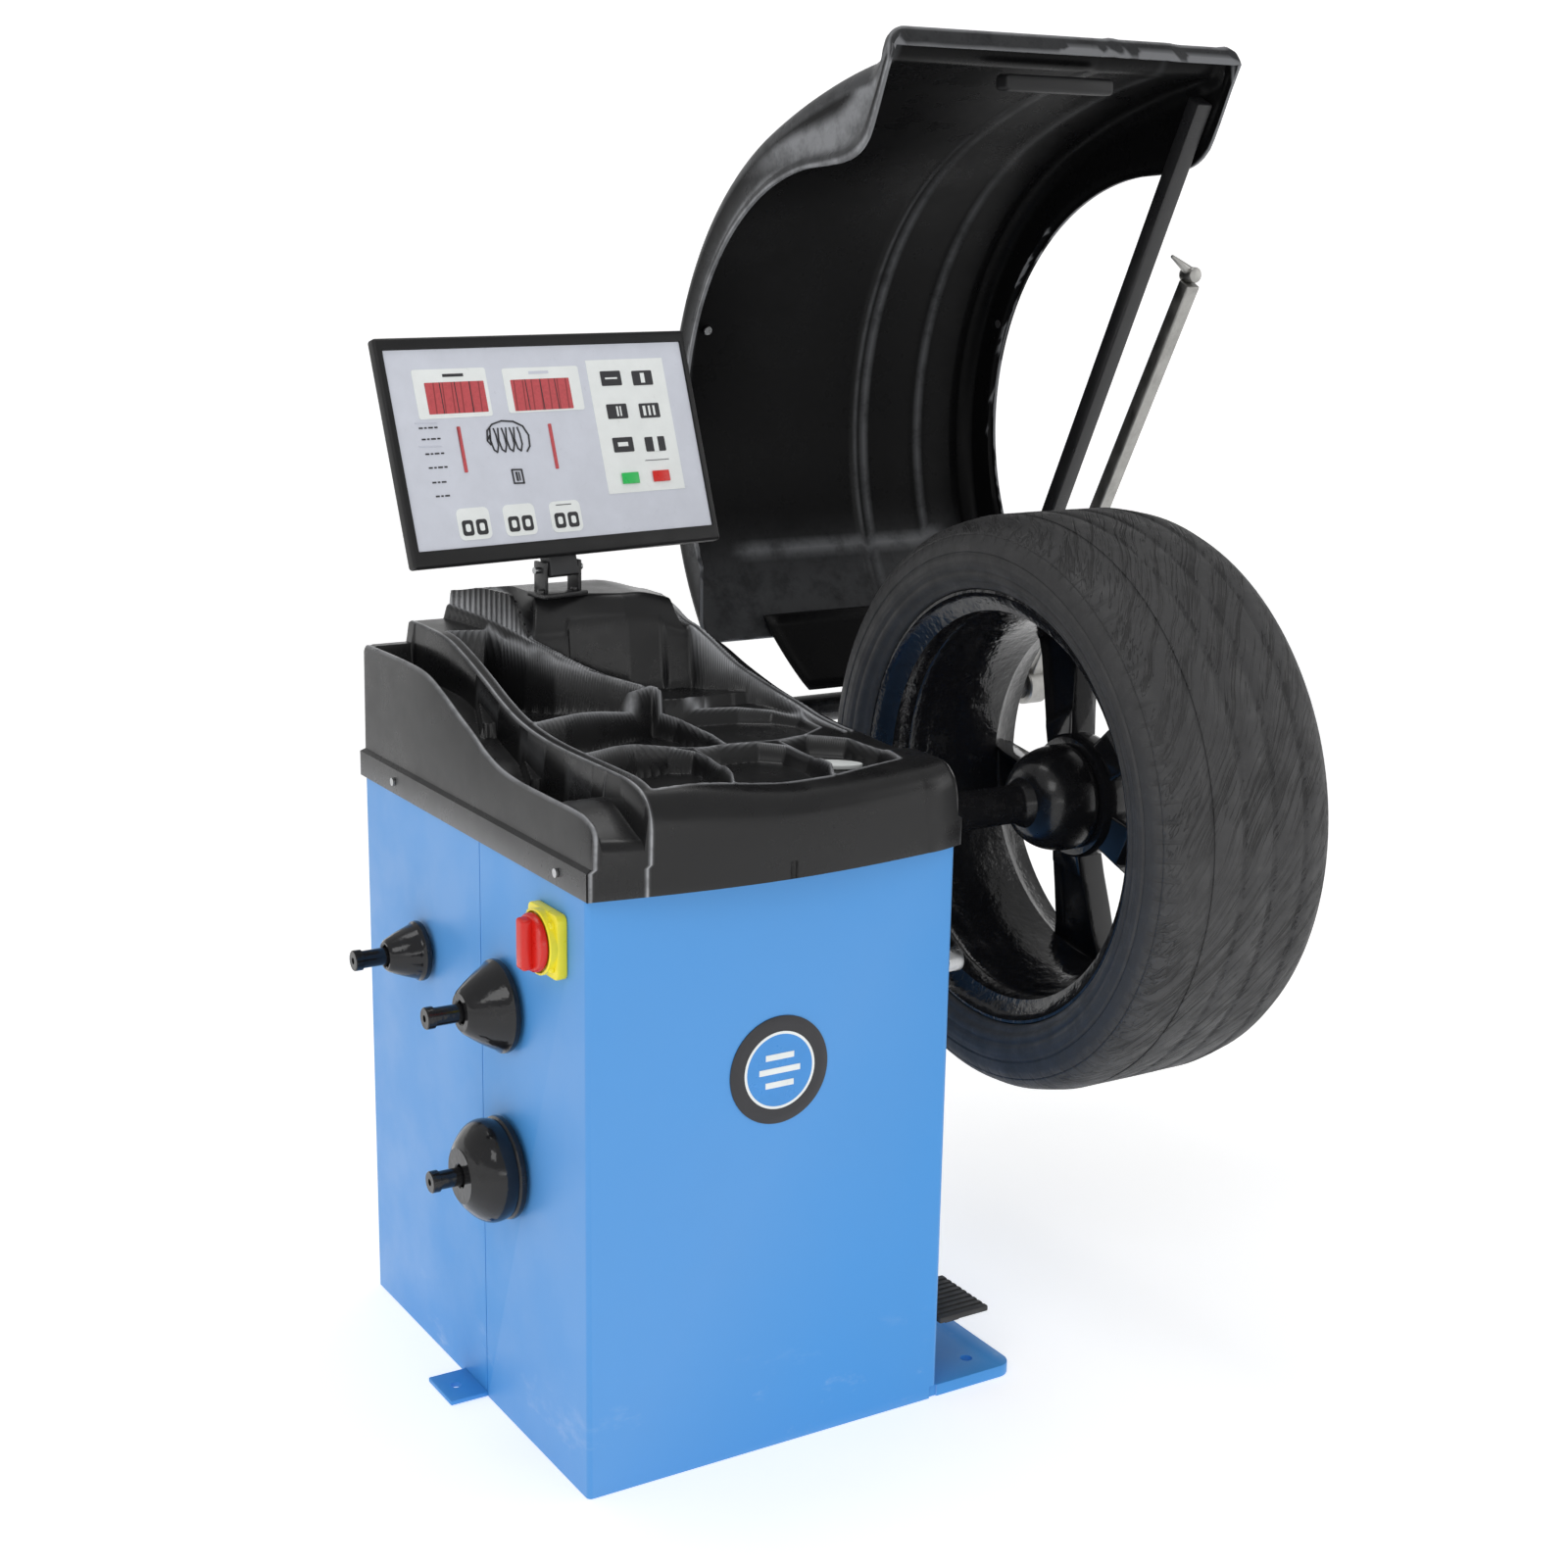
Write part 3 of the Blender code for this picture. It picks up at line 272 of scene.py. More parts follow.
class Finish:
    """A material put together node by node, on object coordinates."""

    def __init__(self, name, colour=None, rough=0.5, metal=0.0, **sockets):
        self.material = bpy.data.materials.new(name)
        self.material.use_nodes = True
        self.tree = self.material.node_tree
        self.shader = self.tree.nodes["Principled BSDF"]
        self.at = self.tree.nodes.new("ShaderNodeTexCoord").outputs["Object"]
        self.set(self.shader, {"Roughness": rough, "Metallic": metal, **sockets})
        if colour is not None:
            self.set(self.shader, {"Base Color": (*colour, 1.0)})

    def set(self, node, inputs):
        for key, value in inputs.items():
            if isinstance(value, bpy.types.NodeSocket):
                self.tree.links.new(value, node.inputs[key])
            else:
                node.inputs[key].default_value = value

    def node(self, kind, inputs=None, **settings):
        made = self.tree.nodes.new("ShaderNode" + kind)
        for key, value in settings.items():
            setattr(made, key, value)
        self.set(made, inputs or {})
        return made

    def noise(self, scale, detail=3.0, rough=0.55, stretch=None, twist=0.0):
        at = self.at
        if stretch:
            at = self.node("Mapping", {"Vector": at, "Scale": stretch}).outputs["Vector"]
        return self.node("TexNoise", {"Vector": at, "Scale": scale, "Detail": detail, "Roughness": rough,
            "Distortion": twist}).outputs["Fac"]

    def span(self, value, low, high, to_low=0.0, to_high=1.0):
        """value from low..high to to_low..to_high, held at the ends."""
        inputs = {"Value": value, "From Min": low, "From Max": high, "To Min": to_low, "To Max": to_high}
        return self.node("MapRange", inputs, interpolation_type="SMOOTHSTEP").outputs["Result"]

    def sums(self, operation, a, b=0.0):
        made = self.node("Math", operation=operation)
        self.set(made, {0: a, 1: b})
        return made.outputs[0]

    def times(self, a, b):
        return self.sums("MULTIPLY", a, b)

    def axis(self, name):
        return self.node("SeparateXYZ", {"Vector": self.at}).outputs[name]

    def mix(self, share, a, b):
        made = self.node("Mix", data_type="RGBA")
        paint = lambda c: c if isinstance(c, bpy.types.NodeSocket) else (*c, 1.0)
        self.set(made, {0: share, 6: paint(a), 7: paint(b)})
        return made.outputs[2]

    def edges(self, low=0.53, high=0.62):
        """1 along outward edges, from how pointed the surface is."""
        return self.span(self.node("NewGeometry").outputs["Pointiness"], low, high)

    def upward(self, low=0.6, high=0.95):
        """1 where the surface faces up."""
        normal = self.node("SeparateXYZ", {"Vector": self.node("NewGeometry").outputs["Normal"]}).outputs["Z"]
        return self.span(normal, low, high)

    def bump(self, *layers):
        """Layers of (height, strength, distance), the coarsest first."""
        normal = None
        for height, strength, distance in layers:
            made = self.node("Bump", {"Height": height, "Strength": strength, "Distance": distance})
            if normal is not None:
                self.set(made, {"Normal": normal})
            normal = made.outputs["Normal"]
        self.set(self.shader, {"Normal": normal})

    def out(self, **inputs):
        names = {"colour": "Base Color", "rough": "Roughness", "metal": "Metallic"}
        self.set(self.shader, {names[key]: value for key, value in inputs.items()})
        return self.material


def tint(colour, by):
    return tuple(min(1.0, c * by) for c in colour)


def powder_coat(colour):
    f = Finish("powder_coat", rough=0.42)
    cloud = f.noise(2.2, 3, 0.6)
    base = f.mix(cloud, tint(colour, 0.93), tint(colour, 1.06))
    low = f.span(f.axis("Z"), 0.16, 0.0)
    scuff = f.times(f.span(f.noise(7.0, 6, 0.7, (1.0, 1.0, 2.2)), 0.56, 0.72), low)
    base = f.mix(f.times(scuff, 0.5), base, (0.42, 0.56, 0.80))
    scratch = f.span(f.noise(26.0, 5, 0.75, (1.0, 1.0, 9.0), 1.4), 0.70, 0.74)
    base = f.mix(f.times(scratch, 0.25), base, tint(colour, 0.45))
    base = f.mix(f.times(f.edges(0.55, 0.68), 0.35), base, (0.30, 0.48, 0.80))
    f.bump((cloud, 0.06, 0.004), (f.noise(420.0, 2, 0.5), 0.10, 0.0004))
    return f.out(colour=base, rough=f.span(f.noise(9.0, 4, 0.6), 0.3, 0.7, 0.34, 0.50))


def moulded_plastic(name, colour, grain=0.22, rough=(0.30, 0.44), edge=0.9, dust=0.35, shine=0.3):
    """Satin black plastic with a fine grain, painted highlights along its ribs and edges, and a little dust."""
    f = Finish(name, **{"Specular IOR Level": shine})
    base = f.mix(f.noise(5.0, 4, 0.6), tint(colour, 0.8), tint(colour, 1.35))
    # The pale mix below is painted highlight: the piece's attribute marks rib crests, lip steps and lit faces, and
    # sharp edges add to it.
    painted_highlight = f.node("Attribute", attribute_name="painted_highlight", attribute_type="GEOMETRY").outputs["Fac"]
    painted_highlight = f.times(painted_highlight, f.span(f.noise(18.0, 4, 0.7), 0.30, 0.60, 0.45, 1.0))
    painted_highlight = f.sums("MAXIMUM", painted_highlight, f.times(f.edges(0.54, 0.66), 0.5))
    base = f.mix(f.times(painted_highlight, edge), base, (0.42, 0.43, 0.45))
    speck = f.times(f.span(f.noise(60.0, 6, 0.8), 0.48, 0.72), f.upward())
    base = f.mix(f.times(speck, dust), base, (0.060, 0.060, 0.060))
    f.bump((f.noise(14.0, 3, 0.5), 0.05, 0.004), (f.noise(900.0, 2, 0.6), grain, 0.0003))
    return f.out(colour=base, rough=f.span(f.noise(16.0, 4, 0.65), 0.3, 0.7, *rough))


def gloss_black(name, lumps, rough=(0.10, 0.28), grime=0.25):
    """Thick gloss paint over a casting: lumps is the height of its unevenness."""
    f = Finish(name, **{"Coat Weight": 0.15, "Coat Roughness": 0.05, "Specular IOR Level": 0.35})
    spots = f.span(f.noise(38.0, 6, 0.75), 0.52, 0.68)
    base = f.mix(f.times(spots, grime), (0.009, 0.009, 0.010), (0.045, 0.043, 0.040))
    base = f.mix(f.times(f.edges(0.56, 0.7), 0.5), base, (0.10, 0.10, 0.10))
    f.bump((f.noise(22.0, 4, 0.6), lumps, 0.006), (f.noise(160.0, 3, 0.6), lumps * 0.7, 0.0012))
    return f.out(colour=base, rough=f.span(f.noise(30.0, 5, 0.7), 0.35, 0.7, *rough))


def bare_metal(name, colour, rough=(0.22, 0.42), stretch=(1, 1, 1), tarnish=0.4, metal=1.0):
    """Brushed or plated metal with streaks along the stretched axes and some tarnish."""
    f = Finish(name, metal=metal)
    streak = f.noise(260.0, 3, 0.6, stretch)
    stain = f.span(f.noise(24.0, 6, 0.7), 0.45, 0.70)
    base = f.mix(streak, tint(colour, 0.85), tint(colour, 1.12))
    base = f.mix(f.times(stain, tarnish), base, tint(colour, 0.42))
    f.bump((streak, 0.10, 0.0003), (f.noise(70.0, 4, 0.6), 0.08, 0.0008))
    return f.out(colour=base, rough=f.span(f.noise(40.0, 5, 0.6), 0.3, 0.7, *rough))


def painted_steel(name, colour, rough=(0.26, 0.42)):
    f = Finish(name)
    chips = f.times(f.edges(0.56, 0.66), f.span(f.noise(120.0, 5, 0.8), 0.45, 0.6))
    base = f.mix(f.noise(12.0, 4, 0.6), tint(colour, 0.75), tint(colour, 1.3))
    base = f.mix(f.times(chips, 0.7), base, (0.24, 0.24, 0.25))
    f.bump((f.noise(36.0, 3, 0.6), 0.10, 0.0015), (f.noise(520.0, 2, 0.6), 0.10, 0.0003))
    return f.out(colour=base, rough=f.span(f.noise(18.0, 4, 0.6), 0.3, 0.7, *rough))


def tyre_rubber(colour):
    """Worn tread with thin flowing sipes, block marks at the shoulder, and ringed sidewalls."""
    f = Finish("tyre_rubber", rough=0.7)
    x, y, z = (f.axis(a) for a in "XYZ")
    across = f.sums("SUBTRACT", x, (TYRE_LOW.x + TYRE_HIGH.x) / 2)
    y, z = f.sums("SUBTRACT", y, AXIS.y), f.sums("SUBTRACT", z, AXIS.z)
    turn = f.sums("ARCTAN2", z, y)
    reach = f.sums("SQRT", f.sums("ADD", f.times(y, y), f.times(z, z)))
    tread = f.span(reach, 0.338, 0.350)
    wander = f.times(f.sums("SUBTRACT", f.noise(6.0, 2, 0.5), 0.5), 0.22)
    lean = f.sums("ADD", f.times(across, 4.2), wander)
    turned = f.node("VectorRotate", {"Vector": f.at, "Center": (0.0, AXIS.y, AXIS.z), "Angle": lean},
        rotation_type="X_AXIS")
    drawn = f.node("Mapping", {"Vector": turned.outputs["Vector"], "Scale": (0.10, 1.0, 1.0)}).outputs["Vector"]
    streak = f.node("TexNoise", {"Vector": drawn, "Scale": 58.0, "Detail": 3.0, "Roughness": 0.55}).outputs["Fac"]
    lines = f.times(f.span(streak, 0.53, 0.60), f.span(streak, 0.72, 0.62))
    fine = f.sums("ABSOLUTE", f.sums("SUBTRACT", streak, 0.48))
    lines = f.sums("MAXIMUM", lines, f.span(fine, 0.012, 0.003))
    patchy = f.span(f.noise(6.0, 3, 0.5), 0.30, 0.52, 0.35, 1.0)
    lines = f.times(f.times(lines, patchy), tread)
    shoulder = f.times(f.span(f.sums("SINE", f.times(turn, 96.0)), 0.55, 0.95),
        f.times(f.span(reach, 0.330, 0.342), f.span(reach, 0.360, 0.350)))
    marks = f.sums("MAXIMUM", lines, f.times(shoulder, 0.45))
    scuffed = f.mix(f.noise(11.0, 6, 0.7), tint(colour, 0.8), tint(colour, 1.5))
    base = f.mix(f.times(tread, 0.55), scuffed, tint(colour, 1.6))
    base = f.mix(f.times(marks, 0.8), base, tint(colour, 0.30))
    dust = f.span(f.noise(70.0, 7, 0.8, (1, 1, 1), 0.6), 0.50, 0.74)
    base = f.mix(f.times(dust, 0.18), base, (0.13, 0.125, 0.12))
    rings = f.sums("SINE", f.times(reach, 900.0))
    rings = f.times(rings, f.times(f.span(reach, 0.296, 0.300), f.span(reach, 0.322, 0.318)))
    f.bump((f.noise(8.0, 3, 0.5), 0.10, 0.006), (f.sums("SUBTRACT", 1.0, marks), 0.9, 0.0022),
        (rings, 0.25, 0.0006), (f.noise(240.0, 5, 0.75), 0.35, 0.0009))
    return f.out(colour=base, rough=f.span(f.noise(30.0, 5, 0.6), 0.3, 0.7, 0.52, 0.74))


def plain_rubber(name, colour):
    f = Finish(name)
    base = f.mix(f.noise(40.0, 5, 0.7), tint(colour, 0.7), tint(colour, 1.6))
    base = f.mix(f.times(f.edges(), 0.5), base, (0.07, 0.07, 0.07))
    f.bump((f.noise(380.0, 4, 0.7), 0.3, 0.0005))
    return f.out(colour=base, rough=f.span(f.noise(60.0, 4, 0.6), 0.3, 0.7, 0.55, 0.8))


def gloss_plastic(name, colour, rough=(0.22, 0.38), glow=0.0):
    """Bright moulded plastic or printed film."""
    f = Finish(name, **({"Emission Color": (*colour, 1.0), "Emission Strength": glow} if glow else {}))
    base = f.mix(f.noise(30.0, 4, 0.6), tint(colour, 0.88), tint(colour, 1.06))
    base = f.mix(f.times(f.span(f.noise(90.0, 6, 0.75), 0.60, 0.75), 0.30), base, tint(colour, 0.5))
    f.bump((f.noise(50.0, 3, 0.5), 0.05, 0.001), (f.noise(900.0, 2, 0.6), 0.10, 0.0002))
    return f.out(colour=base, rough=f.span(f.noise(24.0, 4, 0.6), 0.3, 0.7, *rough))


def led_film(colour):
    """Red filter over digit blocks, with the blocks just showing."""
    f = Finish("led_film", rough=0.25)
    blocks = f.node("TexWave", {"Vector": f.at, "Scale": 26.0, "Distortion": 0.0}, wave_type="BANDS",
        bands_direction="X").outputs["Fac"]
    base = f.mix(f.times(f.span(blocks, 0.90, 1.0), 0.7), colour, tint(colour, 0.25))
    base = f.mix(f.span(f.noise(240.0, 4, 0.6), 0.4, 0.7, 0.0, 0.35), base, tint(colour, 0.6))
    f.bump((f.noise(700.0, 2, 0.6), 0.06, 0.0002))
    return f.out(colour=base)


def all_finishes(colours):
    plastic = tuple(colours.plastic)
    knob, plate = tuple(colours.knob), tuple(colours.plate)
    return {
        "coat": powder_coat(tuple(colours.cabinet)),
        "tray": moulded_plastic("tray_plastic", tint(plastic, 0.55), 0.25, (0.24, 0.36), 1.0, 0.16, 0.36),
        "hood": moulded_plastic("hood_plastic", tint(plastic, 0.30), 0.35, (0.24, 0.36), 0.80, 0.02, 0.07),
        "case": moulded_plastic("case_plastic", tint(plastic, 0.6), 0.18, (0.34, 0.48), 0.7, 0.15, 0.3),
        "cone": gloss_black("cone_gloss", 0.22, (0.08, 0.24), 0.15),
        "alloy": gloss_black("wheel_gloss", 0.10, (0.06, 0.20), 0.15),
        "barrel": gloss_black("barrel_gloss", 0.60, (0.06, 0.28), 0.25),
        "shaft": gloss_black("shaft_gloss", 0.10, (0.16, 0.34), 0.3),
        "steel": bare_metal("bare_steel", (0.50, 0.51, 0.52)),
        "zinc": bare_metal("zinc_plate", (0.36, 0.355, 0.34), (0.28, 0.48), (1, 1, 0.05), 0.35),
        "iron": painted_steel("dark_iron", (0.030, 0.030, 0.032), (0.4, 0.6)),
        "black_steel": painted_steel("black_steel", (0.012, 0.012, 0.013)),
        "grey_paint": painted_steel("motor_grey", (0.17, 0.18, 0.20), (0.35, 0.5)),
        "tyre": tyre_rubber(tuple(colours.rubber)),
        "rubber": plain_rubber("black_rubber", (0.018, 0.018, 0.018)),
        "panel": gloss_plastic("panel_film", tuple(colours.panel), (0.34, 0.46)),
        "white": gloss_plastic("white_film", (0.84, 0.87, 0.86), (0.34, 0.46)),
        "pale": gloss_plastic("pale_film", (0.62, 0.64, 0.72), (0.34, 0.46)),
        "ink": gloss_plastic("black_ink", (0.020, 0.020, 0.024), (0.30, 0.44)),
        "led": led_film((0.54, 0.080, 0.090)),
        "red": gloss_plastic("red_plastic", knob),
        "green": gloss_plastic("green_plastic", (0.02, 0.52, 0.10)),
        "yellow": gloss_plastic("yellow_plastic", plate),
        "board": gloss_plastic("board_green", (0.02, 0.16, 0.05)),
        "badge_blue": gloss_plastic("badge_blue", (0.05, 0.28, 0.70)),
    }


# ---------------------------------------------------------------- stage


def make_camera():
    """The camera stands to the front left of the machine, at eye height."""
    yaw, pitch, roll = 0.551857, 0.243797, 0.017332
    ahead = Vector((math.sin(yaw) * math.cos(pitch), math.cos(yaw) * math.cos(pitch), -math.sin(pitch)))
    level = Vector((math.cos(yaw), -math.sin(yaw), 0.0))
    upright = level.cross(ahead)
    right = level * math.cos(roll) + upright * math.sin(roll)
    up = upright * math.cos(roll) - level * math.sin(roll)
    data = bpy.data.cameras.new("camera")
    data.sensor_width, data.lens = 36.0, 36.0 * 2375.03 / 1600
    data.clip_end = 60.0
    camera = bpy.data.objects.new("camera", data)
    bpy.context.scene.collection.objects.link(camera)
    camera.matrix_world = Matrix.Translation((-1.24835, -2.33548, 1.36930)) @ Matrix((right, up,
        -ahead)).transposed().to_4x4()
    bpy.context.scene.camera = camera


def area_light(name, place, aim, size, power, colour=(1, 1, 1)):
    data = bpy.data.lights.new(name, "AREA")
    data.shape, data.size, data.size_y = "RECTANGLE", size[0], size[1]
    data.energy, data.color = power, colour
    lamp = bpy.data.objects.new(name, data)
    bpy.context.scene.collection.objects.link(lamp)
    lamp.location = place
    lamp.rotation_mode = "QUATERNION"
    lamp.rotation_quaternion = (Vector(aim) - Vector(place)).to_track_quat("-Z", "Y")


def make_floor():
    """A pale floor that curves up far behind the machine."""
    f = Finish("floor_paint", rough=0.9, **{"Emission Color": (1, 1, 1, 1), "Emission Strength": 0.52})
    f.out(colour=f.mix(f.noise(3.0, 4, 0.5), (0.80, 0.80, 0.80), (0.84, 0.84, 0.84)))
    f.bump((f.noise(60.0, 3, 0.5), 0.02, 0.002))
    bm = bmesh.new()
    bmesh.ops.create_circle(bm, cap_ends=True, radius=9.0, segments=96)
    rim = [e for e in bm.edges if len(e.link_faces) == 1]
    for step in range(1, 13):
        turn = math.radians(90 * step / 12)
        made = bmesh.ops.extrude_edge_only(bm, edges=rim)["geom"]
        verts = [v for v in made if isinstance(v, bmesh.types.BMVert)]
        rim = [e for e in made if isinstance(e, bmesh.types.BMEdge)]
        for v in verts:
            flat = Vector((v.co.x, v.co.y, 0)).normalized()
            v.co = flat * (9.0 + 4.0 * math.sin(turn)) + Vector((0, 0, 4.0 * (1 - math.cos(turn))))
    bmesh.ops.translate(bm, vec=(0, 0, -0.0005), verts=bm.verts)
    mesh = bpy.data.meshes.new("floor")
    bm.to_mesh(mesh)
    bm.free()
    mesh.shade_smooth()
    mesh.materials.append(f.material)
    floor = bpy.data.objects.new("floor", mesh)
    bpy.context.scene.collection.objects.link(floor)


def make_sky():
    world = bpy.data.worlds.new("studio")
    bpy.context.scene.world = world
    world.use_nodes = True
    world.node_tree.nodes["Background"].inputs["Color"].default_value = (1, 1, 1, 1)
    world.node_tree.nodes["Background"].inputs["Strength"].default_value = 0.5


# ---------------------------------------------------------------- cabinet


def cabinet_body(sizes):
    """Folded sheet with rounded corners, open below and on top, and its bores."""
    low, high = SHELL_LOW, SHELL_HIGH
    bm = block(low, high)
    round_along(bm, 2, sizes.corner, 5, 0.1)
    inner = block((low.x + 0.002, low.y + 0.002, -0.1), (high.x - 0.002, high.y - 0.002, 1.0), 0.004, 2)
    side = (high.x - 0.02, high.x + 0.02)
    bores = [rod((side[0], y, z), (side[1], y, z), r) for y, z,
        r in ((AXIS.y, AXIS.z, 0.034), (-0.240, 0.520, 0.0125), (-0.155, 0.085, 0.0105))]
    seam = block((low.x - 0.01, sizes.seam - 0.0008, 0.0), (low.x + 0.0012, sizes.seam + 0.0008, 1.0))
    rear = block((-0.17, high.y - 0.01, 0.08), (0.17, high.y + 0.01, 0.53))
    step = block((high.x - 0.01, low.y - 0.01, -0.1), (high.x + 0.01, high.y + 0.01, 0.0153))
    tab = block((low.x - 0.01, -0.0405, -0.1), (low.x + 0.01, 0.0275, 0.0063))
    return cut(bm, inner, *bores, seam, rear, step, tab)


def rear_door():
    low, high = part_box("rear_panel")
    bm = block(low, high, 0.0008, 2)
    slots = [block((-0.06, low.y - 0.02, 0.38 + 0.022 * n), (0.06, high.y + 0.02, 0.388 + 0.022 * n), 0.003,
        3) for n in range(6)]
    return cut(bm, *slots)


def round_badge(looks):
    """A plain round plate: dark ring, blue field and three pale bars."""
    low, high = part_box("badge")
    centre = (low + high) / 2
    face, r = high.y, (high.x - low.x) / 2
    turn = Matrix.Translation((centre.x, face, centre.z)) @ Matrix.Rotation(-math.pi / 2, 4, "Z")
    bm = bmesh.new()
    join(bm, lathe([(0, 0), (r, 0), (r, 0.0008), (r - 0.0006, 0.0012), (r - 0.010, 0.0014), (0, 0.0014)], steps=96),
        turn, 0)
    join(bm, lathe([(0, 0.001), (r - 0.020, 0.001), (r - 0.020, 0.0018), (0, 0.0018)], steps=80), turn, 1)
    join(bm, lathe([(r - 0.0205, 0.001), (r - 0.0175, 0.001), (r - 0.0175, 0.0019), (r - 0.0205, 0.0019)], steps=80,
        closed=True), turn, 2)
    for n in range(-1, 2):
        half = 0.026 - 0.008 * abs(n)
        z = centre.z + 0.016 * n
        join(bm, block((centre.x - half, face - 0.0022, z - 0.0035), (centre.x + half, face - 0.001, z + 0.0035),
            0.0003, 1), None, 2)
    piece("round_badge", bm, [looks["ink"], looks["badge_blue"], looks["white"]], "machine", "badge", slot="badge")


def foot_and_base(looks, sizes):
    low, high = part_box("foot_tab")
    y = (low.y + high.y) / 2
    tab = cut(block(low, high, 0.0015, 2), rod((low.x + 0.021, y, -0.1), (low.x + 0.021, y, 0.1), 0.0065))
    piece("floor_tab", tab, looks["coat"], "machine", "foot_tab", slot="blue")
    low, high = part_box("base_plate")
    points = [(low.x, SHELL_LOW.y + 0.0023), (0.2303, SHELL_LOW.y + 0.0023), (0.2303, low.y)]
    points += arc((high.x - 0.02, low.y + 0.02), 0.02, -90, 0, 8) + arc((high.x - 0.02, high.y - 0.02), 0.02, 0, 90,
        8)
    points += [(0.2303, high.y), (0.2303, SHELL_HIGH.y - 0.0023), (low.x, SHELL_HIGH.y - 0.0023)]
    plate = prism(points, low.z, high.z, "XY", 0.0012, 2)
    holes = [rod((0.300, s * (high.y - 0.037), -0.1), (0.300, s * (high.y - 0.037), 0.1), 0.0075) for s in (-1, 1)]
    piece("floor_plate", cut(plate, *holes), looks["coat"], "machine", "base_plate", slot="blue")


# ---------------------------------------------------------------- tray

LEFT_RIB = ((-0.335, 0.733), (-0.3195, 0.7507), (-0.3048, 0.7581), (-0.28, 0.7645), (-0.20, 0.7655),
    (-0.1309, 0.7664), (-0.083, 0.771), (-0.0426, 0.782), (-0.014, 0.794), (0.0237, 0.8078), (0.0669, 0.8243),
    (0.1111, 0.8381), (0.1571, 0.8427), (0.2666, 0.8430), (0.31, 0.8420))
MAIN_RIB = ((-0.335, 0.768), (-0.30, 0.786), (-0.2726, 0.792), (-0.2376, 0.793), (-0.1208, 0.793), (-0.06, 0.7958),
    (-0.0067, 0.8032), (0.0393, 0.816), (0.0872, 0.8335), (0.1387, 0.851), (0.1893, 0.8639), (0.2509, 0.8676),
    (0.31, 0.8680))
RIGHT_RIB = ((-0.335, 0.764), (-0.3112, 0.7700), (-0.2735, 0.7760), (-0.2229, 0.7750), (-0.1962, 0.7700),
    (-0.1244, 0.7725), (-0.0518, 0.7760), (0.032, 0.7860), (0.078, 0.7930), (0.1479, 0.8078), (0.21, 0.8240),
    (0.2638, 0.8317), (0.31, 0.8330))
# corners anticlockwise, the floor's height, and how far the walls lean
TRAY_POCKETS = (
    (((-0.149, -0.294), (-0.057, -0.292), (-0.042, -0.262), (-0.020, -0.205), (-0.009, -0.158), (-0.012, -0.132),
    (-0.036, -0.120), (-0.080, -0.126), (-0.149, -0.152)), 0.752, 0.0075),
    (((-0.048, -0.292), (0.071, -0.286), (0.090, -0.250), (0.104, -0.190), (0.104, -0.140), (0.082, -0.116),
    (0.036, -0.110), (0.004, -0.118), (0.000, -0.156), (-0.012, -0.208), (-0.034, -0.265)), 0.752, 0.0075),
    (((0.081, -0.284), (0.174, -0.262), (0.192, -0.200), (0.186, -0.140), (0.152, -0.110), (0.114, -0.120),
    (0.113, -0.190), (0.100, -0.250)), 0.750, 0.0075),
    (((-0.149, -0.143), (-0.080, -0.117), (-0.036, -0.111), (0.042, -0.100), (0.048, -0.060), (0.040, 0.000),
    (0.026, 0.034), (-0.050, 0.008), (-0.110, -0.014), (-0.149, -0.024)), 0.756, 0.0075),
    (((0.052, -0.100), (0.110, -0.108), (0.150, -0.101), (0.184, -0.080), (0.184, -0.040), (0.166, -0.008),
    (0.130, 0.014), (0.036, 0.032), (0.049, 0.000), (0.057, -0.060)), 0.766, 0.0090),
    (((-0.149, -0.014), (-0.108, -0.004), (-0.052, 0.018), (0.012, 0.040), (-0.028, 0.072), (-0.068, 0.102),
    (-0.092, 0.132), (-0.106, 0.170), (-0.110, 0.205), (-0.149, 0.215)), 0.780, 0.0075),
)
TRAY_LEFT, TRAY_RIGHT, TRAY_REAR = -0.2275, 0.2285, 0.3015


def tray_front(x, bow):
    if x > 0.1755:
        return -0.3192 + 0.0212 * rise((x - 0.1755) / 0.09)
    return -0.311 - bow * math.sin(math.pi * (x + 0.2345) / 0.46125)


def into_polygon(x, y, corners):
    """Signed distance to an outline, below 0 inside it."""
    inside, near = False, 1.0
    for (x0, y0), (x1, y1) in zip(corners, corners[1:] + corners[:1]):
        dx, dy = x1 - x0, y1 - y0
        t = min(max(((x - x0) * dx + (y - y0) * dy) / (dx * dx + dy * dy), 0.0), 1.0)
        near = min(near, math.hypot(x - x0 - dx * t, y - y0 - dy * t))
        if (y0 > y) != (y1 > y) and x < x0 + (y - y0) / dy * dx:
            inside = not inside
    return -near if inside else near


# the left and right ridges of the hump, as (y, x) and (y, height)
LEFT_RIDGE = ((0.030, 0.040), (0.043, 0.025), (0.075, -0.018), (0.105, -0.056), (0.135, -0.080), (0.20, -0.0965),
    (0.31, -0.116))
LEFT_RIDGE_TOP = ((0.030, 0.798), (0.043, 0.806), (0.085, 0.833), (0.128, 0.860), (0.20, 0.876), (0.31, 0.886))
RIGHT_RIDGE = ((-0.10, 0.2065), (-0.06, 0.2010), (-0.02, 0.1920), (0.012, 0.1790), (0.045, 0.1480), (0.074, 0.1220),
    (0.10, 0.1180), (0.14, 0.1260), (0.25, 0.1660), (0.31, 0.1800))
RIGHT_RIDGE_TOP = ((-0.10, 0.7745), (-0.06, 0.7800), (-0.02, 0.7920), (0.012, 0.8040), (0.045, 0.8300),
    (0.074, 0.8620), (0.10, 0.8720), (0.25, 0.8720), (0.31, 0.8680))


def bump_at(off, width):
    return math.exp(-((off / width) ** 2))


HUMP_PEAK = 0.9138


